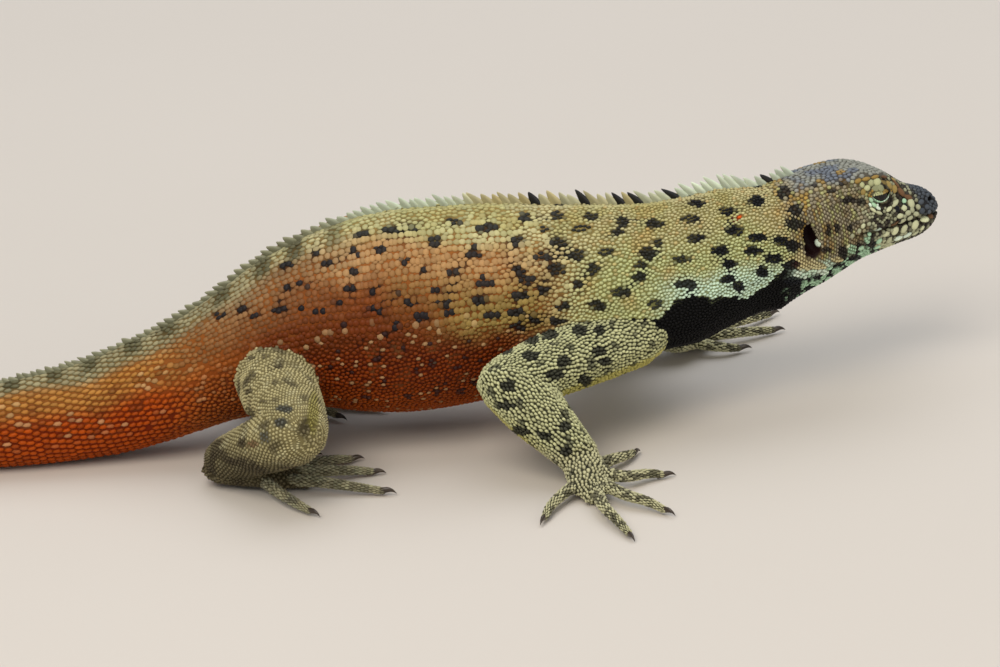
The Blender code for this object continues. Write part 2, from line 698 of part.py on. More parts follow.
def build_digits(kind, side_name, digits, palm_points, palm_radii):
    for number, points in enumerate(digits, 1):
        digit = add_object(f"{kind}_{number}_{side_name}", loft(digit_rings(points)), "skin_limb")
        palm = loft(tube_rings(palm_points, palm_radii, LIMB_SIDES, GAP), on_floor=False)
        solid_mesh(digit, [add_object("palm_space", palm)], "DIFFERENCE")


def left_toes():
    """The right foot's toes, mirrored and set round the left ankle."""
    turn = Matrix.Rotation(TOES_TURN_L, 3, "Z")
    right = LEG_R["ankle"]
    left = LEG_L["ankle"]
    toes = []
    for toe in TOES_R:
        offsets = [turn @ Vector((x - right.x, right.y - y, z)) for x, y, z in toe]
        toes.append([(left.x + offset.x, left.y + offset.y, offset.z) for offset in offsets])
    return toes


def build_limbs():
    for side, arm, leg, hand_turn, foot_turn, fingers, toes in (
        ("R", ARM_R, LEG_R, 0.0, 0.0, FINGERS_R, TOES_R),
        ("L", ARM_L, LEG_L, HAND_HEADING_L, FOOT_TURN_L, FINGERS_L, left_toes()),
    ):
        names = [f"{part}_{side}" for part in ("upper_arm", "forearm", "hand")]
        points, radii = hand_points(arm["wrist"], HAND_R, hand_turn)
        joints = (arm["shoulder"], arm["elbow"], arm["wrist"])
        build_limb(names, joints, points, radii, UPPER_ARM_RADII, FOREARM_RADII)
        build_digits("finger", side, fingers, points, radii)
        names = [f"{part}_{side}" for part in ("thigh", "shank", "foot")]
        points, radii = hand_points(leg["ankle"], FOOT_R, foot_turn)
        joints = (leg["hip"], leg["knee"], leg["ankle"])
        build_limb(names, joints, points, radii, THIGH_RADII, SHANK_RADII)
        build_digits("toe", side, toes, points, radii)


draw = random.Random(CREST_SEED)
for length_name, length_start, length_end, ring_count in TRUNK_LENGTHS:
    trunk_node(length_name, length_start, length_end, ring_count, draw)
build_head(draw)
build_limbs()
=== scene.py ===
"""Galapagos lava lizard, a large male, life-size and still: skin, scales, crest, eyes and claws.

Shapes are worked out in millimetres in the animal's own frame: it faces +X, its right side faces
-Y and the floor is z = 0. They become metres in the shared frame where a mesh is made.
"""

import math
import random

import bmesh
import bpy
import numpy as np
from mathutils import Matrix, Vector, noise
from mathutils.bvhtree import BVHTree
from mathutils.kdtree import KDTree


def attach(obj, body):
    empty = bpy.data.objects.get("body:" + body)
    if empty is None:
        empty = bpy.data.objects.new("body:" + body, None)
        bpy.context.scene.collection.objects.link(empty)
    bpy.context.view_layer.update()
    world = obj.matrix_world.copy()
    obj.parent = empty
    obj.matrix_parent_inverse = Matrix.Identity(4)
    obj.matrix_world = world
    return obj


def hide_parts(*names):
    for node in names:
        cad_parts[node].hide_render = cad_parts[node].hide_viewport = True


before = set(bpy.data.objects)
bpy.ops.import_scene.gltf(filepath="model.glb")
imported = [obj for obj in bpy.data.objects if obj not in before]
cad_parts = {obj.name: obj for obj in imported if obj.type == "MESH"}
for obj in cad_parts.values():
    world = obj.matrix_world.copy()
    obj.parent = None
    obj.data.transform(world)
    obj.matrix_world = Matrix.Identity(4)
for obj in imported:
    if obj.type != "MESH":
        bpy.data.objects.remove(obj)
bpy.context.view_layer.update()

# Camera, floor and light
# The photograph looks from the animal's right and a little above its back through a long lens,
# and leans a few degrees. A plain pale floor and soft lights stand in for its surroundings.
MM = 0.001
ANIMAL_ORIGIN = np.array([-4.7, 7.1, 0.0])  # the animal's own origin in the shared frame
PHOTO_MIDDLE = (500.0, 333.5)
PHOTO_WIDTH = 1000.0
SENSOR_WIDTH = 36.0
CAMERA_RISE = math.radians(22.0)
CAMERA_LEAN = math.radians(5.0)
CAMERA_REACH = 1000.0
CAMERA_AIM = np.array([82.0, 0.0, 16.7])
PIXELS_PER_MM = 5.6
CLIP_START = 0.01

ahead = np.array([0.0, math.cos(CAMERA_RISE), -math.sin(CAMERA_RISE)])
level_right = np.array([1.0, 0.0, 0.0])
level_up = np.array([0.0, math.sin(CAMERA_RISE), math.cos(CAMERA_RISE)])
photo_right = level_right * math.cos(CAMERA_LEAN) - level_up * math.sin(CAMERA_LEAN)
photo_up = level_right * math.sin(CAMERA_LEAN) + level_up * math.cos(CAMERA_LEAN)
lens_point = CAMERA_AIM - ahead * CAMERA_REACH


def to_shared(points):
    """Millimetres in the animal's own frame to metres in the shared frame."""
    return (np.asarray(points) + ANIMAL_ORIGIN) * MM


def add_object(name, data):
    """A new object of the scene, at its origin, with this mesh, light or camera."""
    made = bpy.data.objects.new(name, data)
    bpy.context.scene.collection.objects.link(made)
    return made


def linear(hex_colour):
    """An sRGB hex value as linear red, green and blue."""
    channels = [int(hex_colour[i : i + 2], 16) / 255 for i in (1, 3, 5)]
    return np.array([c / 12.92 if c <= 0.04045 else ((c + 0.055) / 1.055) ** 2.4
                     for c in channels])


def add_node(material, kind, values=None, links=None, settings=None):
    """Adds a shader node with its values, its links as (socket, node, output) and settings."""
    node = material.node_tree.nodes.new(kind)
    for name, value in (settings or {}).items():
        setattr(node, name, value)
    for socket, value in (values or {}).items():
        node.inputs[socket].default_value = value
    for socket, source, output in links or []:
        material.node_tree.links.new(source.outputs[output], node.inputs[socket])
    return node


def new_material(name, colour, roughness):
    """A material of one colour, and its shader."""
    made = bpy.data.materials.new(name)
    made.use_nodes = True
    shader = made.node_tree.nodes["Principled BSDF"]
    shader.inputs["Base Color"].default_value = (*linear(colour), 1.0)
    shader.inputs["Roughness"].default_value = roughness
    return made, shader


camera_data = bpy.data.cameras.new("camera")
camera_data.sensor_width = SENSOR_WIDTH
camera_data.lens = SENSOR_WIDTH * CAMERA_REACH * PIXELS_PER_MM / PHOTO_WIDTH
camera_data.clip_start = CLIP_START
camera = add_object("camera", camera_data)
turned = Matrix([photo_right, photo_up, -ahead]).transposed().to_4x4()
camera.matrix_world = Matrix.Translation(to_shared(lens_point)) @ turned
bpy.context.scene.camera = camera
bpy.context.scene.view_settings.view_transform = "Standard"

FLOOR_REACH = 4.0
FLOOR_DROP = 0.00005
FLOOR_PATCHES_PER_METRE = 4.4
floor_bm = bmesh.new()
bmesh.ops.create_grid(floor_bm, x_segments=8, y_segments=8, size=FLOOR_REACH)
bmesh.ops.translate(floor_bm, vec=(0.0, 0.0, -FLOOR_DROP), verts=floor_bm.verts)
floor_mesh = bpy.data.meshes.new("floor")
floor_bm.to_mesh(floor_mesh)
floor_bm.free()
floor = add_object("floor", floor_mesh)
# Board under two coats of matt paint: pale, even and without gloss, and a little cloudy.
floor_paint, floor_shader = new_material("matt_painted_board", "#cfc8bf", 0.8)
floor_place = add_node(floor_paint, "ShaderNodeTexCoord")
floor_grain = add_node(
    floor_paint, "ShaderNodeTexNoise", {"Scale": FLOOR_PATCHES_PER_METRE, "Detail": 4.0},
    [("Vector", floor_place, "Object")])
floor_tone = add_node(
    floor_paint, "ShaderNodeMix", {6: (*linear("#cbc4ba"), 1.0), 7: (*linear("#d3ccc3"), 1.0)},
    [(0, floor_grain, "Fac")], {"data_type": "RGBA"})
floor_paint.node_tree.links.new(floor_tone.outputs[2], floor_shader.inputs["Base Color"])
floor_mesh.materials.append(floor_paint)

# Each light's name, place in metres, size, power in watts and tint
LIGHTS = [
    ("key_light", (-0.35, -0.75, 1.15), 0.9, 13.0, "#fff6ea"),
    ("sky_light", (0.25, 0.55, 1.25), 1.3, 9.0, "#f2f6ff"),
    ("fill_light", (0.95, -0.9, 0.45), 0.8, 3.5, "#fff3e6"),
]
for light_name, place, size, power, tint in LIGHTS:
    light_data = bpy.data.lights.new(light_name, "AREA")
    light_data.size = size
    light_data.energy = power
    light_data.color = tuple(linear(tint))
    light = add_object(light_name, light_data)
    light.location = place
    light.rotation_euler = (-Vector(place)).to_track_quat("-Z", "Y").to_euler()
ROOM_LIGHT = 0.45
room = bpy.data.worlds.new("studio")
room.use_nodes = True
room.node_tree.nodes["Background"].inputs["Color"].default_value = (*linear("#e8ecf0"), 1.0)
room.node_tree.nodes["Background"].inputs["Strength"].default_value = ROOM_LIGHT
bpy.context.scene.world = room

# Skin
# One unbroken hide over head, trunk, tail, limbs and digits, a coat's depth inside the solids.
# It is made from the solids' own shapes, drawn together, smoothed, and opened at the ears, nostrils
# and mouth.
TAIL_NODES = ["tail_5", "tail_4", "tail_3", "tail_2", "tail_1"]
TRUNK_NODES = TAIL_NODES + ["torso", "neck"]
HEAD_NODES = ["head", "lower_jaw"]
LIMB_PARTS = {"arm": ("upper_arm", "forearm", "hand"), "leg": ("thigh", "shank", "foot")}
DIGIT_KIND = {"arm": "finger", "leg": "toe"}
DIGIT_NUMBERS = (1, 2, 3, 4, 5)
limbs = {}
for side in ("R", "L"):
    for limb, parts in LIMB_PARTS.items():
        limbs[limb, side] = [f"{part}_{side}" for part in parts]
        limbs[limb, side] += [f"{DIGIT_KIND[limb]}_{k}_{side}" for k in DIGIT_NUMBERS]
FLESH = TRUNK_NODES + HEAD_NODES + [name for names in limbs.values() for name in names]

HEAD_TURN = math.radians(22.0)
HEAD_TIP = math.radians(4.0)
HEAD_TIP_AXIS_Z = 30.0
NAPE = (134.0, 1.0, 0.0)
tip_axis = Matrix.Translation((0.0, 0.0, HEAD_TIP_AXIS_Z))
head_matrix = np.array(
    Matrix.Translation(NAPE) @ Matrix.Rotation(HEAD_TURN, 4, "Z")
    @ tip_axis @ Matrix.Rotation(-HEAD_TIP, 4, "X") @ tip_axis.inverted())


def to_head(points):
    """Points of the animal in its head's own frame: x forward from the nape, y to its left."""
    return (points - head_matrix[:3, 3]) @ head_matrix[:3, :3]


def from_head(points):
    """Points of the head's own frame in the animal."""
    return np.asarray(points) @ head_matrix[:3, :3].T + head_matrix[:3, 3]


SAME_POINT = 1e-6


def solid_copy(name):
    """A node's closed mesh, its doubles merged, in the animal's own millimetres."""
    bm = bmesh.new()
    bm.from_mesh(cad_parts[name].data)
    bmesh.ops.remove_doubles(bm, verts=bm.verts, dist=SAME_POINT)
    bmesh.ops.scale(bm, vec=(1 / MM, 1 / MM, 1 / MM), verts=bm.verts)
    bmesh.ops.translate(bm, vec=Vector(-ANIMAL_ORIGIN), verts=bm.verts)
    return bm


EDGE_READINGS = 9


def edge_samples(bm):
    """Points spread along every edge of a mesh."""
    ends = np.array([[edge.verts[0].co, edge.verts[1].co] for edge in bm.edges])
    steps = np.linspace(0.0, 1.0, EDGE_READINGS)[:, None, None]
    return (ends[:, 0] + (ends[:, 1] - ends[:, 0]) * steps).reshape(-1, 3)


SECTION_HALF = 0.7
LEAST_READINGS = 6
CREST_SHARE = 0.25


def section_middles(samples, heading, pitch):
    """The middles of sections across a form, one each pitch along its heading.

    The height is read beside the middle, where no crest stands.
    """
    heading = heading / np.linalg.norm(heading)
    side = np.cross(heading, (0.0, 0.0, 1.0))
    side /= np.linalg.norm(side)
    rise = np.cross(side, heading)
    along, left, high = samples @ heading, samples @ side, samples @ rise
    middles = []
    for station in np.arange(along.min() + 0.5 * pitch, along.max(), pitch):
        near = abs(along - station) < SECTION_HALF
        if near.sum() < LEAST_READINGS:
            continue
        middle = (left[near].min() + left[near].max()) / 2
        body = near & (abs(left - middle) > CREST_SHARE * np.ptp(left[near]))
        height = (high[body].min() + high[body].max()) / 2 if body.any() else high[near].mean()
        middles.append(heading * station + side * middle + rise * height)
    return np.array(middles)


samples = {}
shells = {}
for name in FLESH:
    copy = solid_copy(name)
    samples[name] = edge_samples(copy)
    shells[name] = BVHTree.FromBMesh(copy)
    copy.free()


def running_mean(values, span):
    """Each value made the mean of the span of values round it."""
    return np.convolve(np.pad(values, span // 2, mode="edge"), np.ones(span) / span, "valid")


TRUNK_STATION = 1.5
TRUNK_SMOOTHING = 5
LIMB_STATION = 1.0
trunk_line = section_middles(
    np.concatenate([samples[name] for name in TRUNK_NODES]), np.array([1.0, 0, 0]), TRUNK_STATION)
for axis in (1, 2):
    trunk_line[:, axis] = running_mean(trunk_line[:, axis], TRUNK_SMOOTHING)


def limb_line(name, near_point):
    """The middle line of a limb length or digit, from its root outwards."""
    cloud = samples[name]
    heading = np.linalg.svd(cloud - cloud.mean(0), full_matrices=False)[2][0]
    if (cloud.mean(0) - near_point) @ heading < 0:
        heading = -heading
    return section_middles(cloud, heading, LIMB_STATION)


lines = {}
for (limb, side), names in limbs.items():
    at_body = samples[names[0]].mean(0) * (1.0, 0.0, 1.0)
    for position, name in enumerate(names):
        before = at_body if position == 0 else samples[names[min(position, 3) - 1]].mean(0)
        lines[name] = limb_line(name, before)

# The solids are grown by the bridge so that they join, and the skin is then drawn in by it and
# by the depth of the coat.
BRIDGE = {"trunk": 0.28, "head": 0.26, "limb": 0.3, "digit": 0.06}
COAT_DEPTH = {"trunk": 0.34, "head": 0.2, "limb": 0.24, "digit": 0.1}
CLAW_LENGTH = 2.3
SKIN_VOXEL = 0.34


def node_kind(name):
    """Which kind of flesh a node is: trunk, head, limb or digit."""
    if name in TRUNK_NODES:
        return "trunk"
    if name in HEAD_NODES:
        return "head"
    return "digit" if name.startswith(("finger", "toe")) else "limb"


def digit_tip(name):
    """The tip of a digit's flesh, where its claw starts, and the way that it points in plan."""
    line = lines[name]
    heading = line[-1] - line[-5]
    heading[2] = 0.0
    heading /= np.linalg.norm(heading)
    reach = (samples[name] @ heading).max()
    tip = line[-1] + heading * (reach - line[-1] @ heading - CLAW_LENGTH)
    return tip, heading


# The solids' crest spines are sunk into the back, because a finer crest takes their place.
RIDGE_STATION = 1.2
RIDGE_SIDE = 1.0
roofed = TRUNK_NODES + ["head"]
spined = [name for name in roofed if name != "tail_5"]
SPINES_FROM = -89.5
RIDGE_SMOOTHING = 7
SPINE_RISE = 0.3
SPINE_SUNK_TO = 0.5
top_cloud = np.concatenate([samples[name] for name in roofed])
ridge_x = np.arange(-104.0, 142.0, RIDGE_STATION)
ridge_y = []
for station in ridge_x:
    near = top_cloud[abs(top_cloud[:, 0] - station) < RIDGE_STATION]
    ridge_y.append(near[near[:, 2].argmax(), 1])
ridge_y = running_mean(ridge_y, RIDGE_SMOOTHING)


OVERHEAD = 80.0
DOWN = Vector((0, 0, -1))


def roof_height(x, y):
    """The top of the trunk and head solids over a place."""
    hits = [shells[name].ray_cast(Vector((x, y, OVERHEAD)), DOWN)[0] for name in roofed]
    return max((hit.z for hit in hits if hit is not None), default=0.0)


ridge_z = np.array([min(roof_height(x, y - RIDGE_SIDE), roof_height(x, y + RIDGE_SIDE))
                    for x, y in zip(ridge_x, ridge_y)])
# A reading in the gap between two solids falls far below those beside it, so it is bridged.
GAP_SPAN = 9
GAP_SHARE = 0.85
beside = np.pad(ridge_z, GAP_SPAN // 2, mode="edge")
typical = np.array([np.median(beside[step : step + GAP_SPAN]) for step in range(len(ridge_z))])
over_solid = ridge_z > GAP_SHARE * typical
ridge_z = np.interp(ridge_x, ridge_x[over_solid], ridge_z[over_solid])


def sink_spines(bm):
    """Sinks a solid's crest spines into its back."""
    for vert in bm.verts:
        x, y, z = vert.co
        off = abs(y - np.interp(x, ridge_x, ridge_y))
        roof = np.interp(x, ridge_x, ridge_z)
        if SPINES_FROM < x < ridge_x[-1] and off < RIDGE_SIDE and z > roof + SPINE_RISE:
            vert.co.z = roof - SPINE_SUNK_TO


# A digit's solid is cut a little past the tip of its flesh, to leave its claw off.
CLAW_OVERLAP = 0.35
whole = bmesh.new()
for name in FLESH:
    copy = solid_copy(name)
    if name in spined:
        sink_spines(copy)
    if node_kind(name) == "digit":
        tip, heading = digit_tip(name)
        cut = bmesh.ops.bisect_plane(
            copy, geom=copy.verts[:] + copy.edges[:] + copy.faces[:], dist=1e-4,
            plane_co=tip + heading * CLAW_OVERLAP, plane_no=heading, clear_outer=True)
        rim = [item for item in cut["geom_cut"] if isinstance(item, bmesh.types.BMEdge)]
        bmesh.ops.holes_fill(copy, edges=rim, sides=0)
    copy.normal_update()
    for vert in copy.verts:
        vert.co += vert.normal * BRIDGE[node_kind(name)]
    part_mesh = bpy.data.meshes.new("part")
    copy.to_mesh(part_mesh)
    copy.free()
    whole.from_mesh(part_mesh)
    bpy.data.meshes.remove(part_mesh)
bmesh.ops.triangulate(whole, faces=whole.faces)
skin_mesh = bpy.data.meshes.new("skin")
whole.to_mesh(skin_mesh)
whole.free()
skin = add_object("skin", skin_mesh)


def apply_modifiers(obj):
    """Keeps the shape that an object's modifiers make, and drops the modifiers."""
    bpy.context.view_layer.update()
    graph = bpy.context.evaluated_depsgraph_get()
    made = bpy.data.meshes.new_from_object(obj.evaluated_get(graph))
    obj.modifiers.clear()
    old = obj.data
    obj.data = made
    bpy.data.meshes.remove(old)


def read_points(mesh, field="co"):
    """The places of a mesh's points, or their normals."""
    flat = np.empty(len(mesh.vertices) * 3, np.float32)
    mesh.vertices.foreach_get(field, flat)
    return flat.reshape(-1, 3).astype(float)


def write_points(mesh, points):
    """Moves a mesh's points to these places."""
    mesh.vertices.foreach_set("co", points.astype(np.float32).ravel())
    mesh.update()


def relax(points, edges, rounds, amount):
    """Draws each point towards the middle of its neighbours."""
    count = len(points)
    degree = np.bincount(edges.ravel(), minlength=count)[:, None]
    for _ in range(rounds):
        total = np.zeros_like(points)
        for axis in range(3):
            total[:, axis] = np.bincount(edges[:, 0], points[edges[:, 1], axis], count)
            total[:, axis] += np.bincount(edges[:, 1], points[edges[:, 0], axis], count)
        points = points + (total / degree - points) * amount
    return points


remesh = skin.modifiers.new("remesh", "REMESH")
remesh.mode = "VOXEL"
remesh.voxel_size = SKIN_VOXEL
apply_modifiers(skin)
skin_mesh = skin.data
points = read_points(skin_mesh)
edges = np.empty(len(skin_mesh.edges) * 2, np.int32)
skin_mesh.edges.foreach_get("vertices", edges)
edges = edges.reshape(-1, 2)

SKIN_SMOOTHING = (4, 0.5)
DEPTH_SMOOTHING = (6, 0.7)
SKIN_LOWEST = 0.06
points = relax(points, edges, *SKIN_SMOOTHING)
write_points(skin_mesh, points)

# The nearest solid to each point of the skin tells what part of the animal it is.
part_points = []
part_faces = []
part_of_face = []
for index, name in enumerate(FLESH):
    copy = solid_copy(name)
    base = len(part_points)
    part_points += [vert.co.copy() for vert in copy.verts]
    for face in copy.faces:
        part_faces.append([base + vert.index for vert in face.verts])
        part_of_face.append(index)
    copy.free()
flesh_shell = BVHTree.FromPolygons(part_points, part_faces)


def nearest_parts(points):
    """The number in FLESH of the solid nearest to each point."""
    return np.array([part_of_face[flesh_shell.find_nearest(Vector(p))[2]] for p in points])


kinds = np.array([node_kind(name) for name in FLESH])
kind_depth = np.array([COAT_DEPTH[kind] + BRIDGE[kind] for kind in kinds])
parts = nearest_parts(points)
depth = kind_depth[parts]
depth = relax(np.repeat(depth[:, None], 3, 1), edges, *DEPTH_SMOOTHING)[:, 0]
points -= read_points(skin_mesh, "normal") * depth[:, None]

# The openings of the head are pressed into the skin in the head's own frame: the line of the
# mouth, which turns inwards round the snout, the nostrils and the ears.
EYE_CENTRE = np.array([16.3, 4.4, 35.5])
EYE_RADIUS = 2.5
EAR_CENTRE = (0.9, 31.2)
EAR_HALF = (1.5, 3.3)
EAR_FLARE = 0.2
EAR_DEPTH = 0.8
MOUTH_CORNER = (9.5, 30.1)
MOUTH_FRONT = (30.6, 28.6)
MOUTH_HALF = 0.42
MOUTH_DEPTH = 0.75
NOSTRIL = (27.9, 2.6, 31.4)
NOSTRIL_REACH = 0.75
NOSTRIL_DEPTH = 0.8
NOSTRIL_OPEN = (0.62, 0.5)


def ear_gap(place, margin=0.0):
    """How far from the ear's middle a place in the head's frame lies: 1 at its rim, wider below."""
    drop = EAR_CENTRE[1] - place[..., 2]
    wide = EAR_HALF[0] + margin + np.clip(EAR_FLARE * drop, -0.6, 0.6)
    return ((place[..., 0] - EAR_CENTRE[0]) / wide) ** 2 + (drop / (EAR_HALF[1] + margin)) ** 2


local = to_head(points)
mouth_slope = (MOUTH_FRONT[1] - MOUTH_CORNER[1]) / (MOUTH_FRONT[0] - MOUTH_CORNER[0])
lip_line = MOUTH_CORNER[1] + (local[:, 0] - MOUTH_CORNER[0]) * mouth_slope
from_line = np.clip(1 - (abs(local[:, 2] - lip_line) / MOUTH_HALF) ** 2, 0, 1)
from_line *= np.clip((local[:, 0] - MOUTH_CORNER[0] + 0.6) / 1.2, 0, 1)
inward = np.stack([np.where(local[:, 0] > 24.0, -0.5, 0.0), -np.sign(local[:, 1]),
                   np.zeros(len(local))], axis=1)
outside = abs(local[:, 1]) > 1.2
outside |= local[:, 0] > 27.0
head_zone = np.isin(parts, [FLESH.index(name) for name in HEAD_NODES])
pull = np.where(outside & head_zone, from_line, 0.0) * MOUTH_DEPTH
local += inward * np.minimum(pull, abs(local[:, 1]) * 0.6)[:, None]
for mirror in (-1, 1):
    nostril = np.array(NOSTRIL) * (1, mirror, 1)
    away = np.linalg.norm(local - nostril, axis=1) / NOSTRIL_REACH
    press = np.clip(1 - away**2, 0, 1) * NOSTRIL_DEPTH
    local[:, 1] -= mirror * press
in_ear = (ear_gap(local) < 1) & (abs(local[:, 1]) > 4.0)
local[in_ear, 1] -= np.sign(local[in_ear, 1]) * EAR_DEPTH * np.sqrt(1 - ear_gap(local[in_ear]))
points = np.where((head_zone | in_ear)[:, None], from_head(local), points)
points[:, 2] = np.maximum(points[:, 2], SKIN_LOWEST)
write_points(skin_mesh, points)

# Away from the head the skin lies under larger scales, so it may be coarser there.
SKIN_TRIANGLES = 180000
body_group = skin.vertex_groups.new(name="body")
body_group.add(np.where(~head_zone)[0].tolist(), 1.0, "REPLACE")
thin = skin.modifiers.new("thin", "DECIMATE")
thin.vertex_group = "body"
skin_mesh.calc_loop_triangles()
thin.ratio = min(1.0, SKIN_TRIANGLES / len(skin_mesh.loop_triangles))
apply_modifiers(skin)
skin.vertex_groups.clear()
skin_mesh = skin.data
points = read_points(skin_mesh)
skin_shell = BVHTree.FromPolygons(points.tolist(), [list(p.vertices) for p in skin_mesh.polygons])
parts = nearest_parts(points)

# Markings
# One set of colours for the skin and for every scale on it. The right side follows the
# photograph; the left is its mirror with the spots shifted a little, as on the live animal.
PALETTE = {name: linear(value) for name, value in {
    "cream": "#b8b082", "khaki": "#a5a66e", "gold": "#ae8f48", "fold_gold": "#b37f34",
    "flank_tan": "#a57a4d", "olive": "#8d7740", "rust": "#763d14", "deep_rust": "#642c08",
    "umber": "#752f00", "belly": "#9a4400", "spark": "#b89c70", "orange": "#d2571a",
    "crease": "#a85c1c", "neck_green": "#b6be88", "mouth_dark": "#1d191c",
    "tail_orange": "#a34300", "tail_gold": "#a87434", "band": "#918a69", "band_dark": "#5d5a40",
    "mint": "#c8e2cc", "white_mint": "#d6e6d2", "black": "#050506", "blue_black": "#15171c",
    "arm": "#bcbd90", "arm_low": "#b5a83e", "hand": "#b9b690", "digit_dark": "#3b372c",
    "leg": "#b0a67a", "leg_dark": "#494130", "leg_pale": "#b9b28a", "foot_dark": "#7b7c70",
    "foot_pale": "#a5a585", "leg_slate": "#3d4348", "leg_olive": "#958d4e",
    "saddle_brown": "#7b5634", "crown": "#8e9086", "crown_blue": "#6d747e", "temple": "#918971",
    "temple_gold": "#957a40", "cheek": "#a8aa8a", "snout": "#4a5057", "jaw_pale": "#c3c6a0",
    "jaw_mint": "#a9cdaa", "face_dark": "#231f20", "brow_pale": "#b3b68a", "brow_gold": "#a08a50",
    "ear_skin": "#c4b98a", "rosy": "#6e5138", "ear_dark": "#2e1014", "crest_rear": "#8d8d70",
    "crest_pale": "#ccd8c0", "crest_gold": "#b4a267", "crest_black": "#101114",
}.items()}

# Pixels of the photograph: the middles of the spots on body, belly and forelimb, where the dark
# blotches on the tail's ridge fall, and the rim of the black throat patch
BODY_SPOTS = [
    (525, 218), (559, 216), (592, 216), (622, 222), (618, 232), (655, 224), (690, 219), (727, 211),
    (757, 201), (785, 192), (697, 203), (490, 228), (545, 230), (582, 229), (735, 231), (795, 224),
    (795, 210), (517, 241), (560, 242), (658, 243), (695, 238), (758, 238), (782, 241), (793, 246),
    (475, 252), (544, 257), (578, 255), (607, 252), (648, 253), (720, 250), (754, 251), (774, 259),
    (520, 270), (557, 270), (593, 269), (642, 265), (640, 277), (681, 260), (729, 264), (792, 265),
    (485, 282), (527, 281), (578, 284), (681, 284), (690, 285), (728, 279), (738, 286), (762, 272),
    (792, 281), (543, 290), (522, 296), (479, 300), (621, 292), (655, 304), (563, 306), (599, 305),
    (493, 315), (517, 314), (535, 320), (557, 321), (519, 327), (361, 234),
    (390, 231), (414, 230), (434, 241), (455, 221), (485, 229), (315, 252), (356, 252), (381, 249),
    (326, 264), (287, 266), (405, 262), (425, 272), (452, 274), (355, 274), (288, 288), (305, 284),
    (326, 287), (349, 289), (373, 289), (400, 290), (437, 289), (280, 310), (303, 307), (320, 310),
    (340, 303), (410, 303), (446, 302), (451, 314), (422, 318), (375, 310), (395, 325), (220, 315),
    (240, 309), (252, 315),
]
BELLY_SPOTS = [
    (468, 340), (497, 338), (432, 344), (402, 350), (416, 370), (446, 383), (466, 357), (437, 393),
    (461, 390), (475, 383), (408, 396), (433, 363), (458, 367), (480, 361), (367, 397), (352, 372),
    (378, 360), (340, 352), (362, 340), (388, 333), (326, 330), (345, 325), (385, 382), (330, 368),
]
ARM_SPOTS = [
    (532, 340), (550, 334), (580, 330), (600, 330), (505, 350), (530, 355), (565, 360), (600, 350),
    (605, 362), (508, 385), (505, 405), (520, 430), (545, 435), (565, 425), (565, 450), (555, 375),
    (585, 380),
]
TAIL_BLOTCHES = (-100, -75, -50, 13, 55, 90, 133, 168, 222, 262, 295, 335)
BLACK_PATCH = [
    (629, 326), (634, 318), (646, 319), (660, 318), (669, 309), (673, 300), (693, 296), (713, 298),
    (727, 296), (741, 299), (758, 297), (774, 293), (790, 291), (803, 288), (818, 281), (832, 273),
    (845, 265), (862, 262), (850, 285), (830, 310), (800, 325), (770, 340), (740, 350), (700, 360),
    (660, 356), (634, 350),
]
SPOT_HALF = (7.6, 4.7)
SPOTS_SHRINK = ((300, 460), (0.7, 1.0))
BELLY_SPOT_HALF = (3.6, 3.0)
FLAME_SCALE = (738, 218)
FLAME_REACH = 2.5

# Patches of the hind limb and the head: the middle of each and its half sizes, in the
# photograph's pixels, and its colour
LEG_PATCHES = [
    (265, 437, 6, 6, "leg_slate"), (281, 423, 7, 5, "leg_slate"), (284, 409, 8, 4, "leg_slate"),
    (289, 427, 4, 3, "leg_pale"), (281, 455, 4.4, 2.8, "leg_pale"),
    (296, 446, 4.4, 5, "leg_pale"), (299, 402, 3.4, 5, "leg_pale"),
    (293, 392, 4.4, 2.4, "leg_pale"), (227, 424, 10, 7, "leg_pale"),
    (313, 414, 5, 22, "leg_olive"), (252, 444, 6, 4, "rosy"), (241, 445, 4, 3.4, "leg_dark"),
    (231, 460, 4, 3.2, "leg_dark"), (214, 456, 3.4, 4, "leg_dark"),
    (251, 358, 3.4, 2.8, "leg_dark"), (265, 357, 4.4, 2.6, "leg_dark"),
    (279, 367, 4, 2.6, "leg_dark"), (252, 374, 4, 2.4, "leg_dark"),
    (249, 391, 3.4, 2.6, "leg_dark"), (263, 401, 3.4, 2.2, "leg_dark"),
    (276, 382, 3.2, 2.6, "leg_dark"),
]
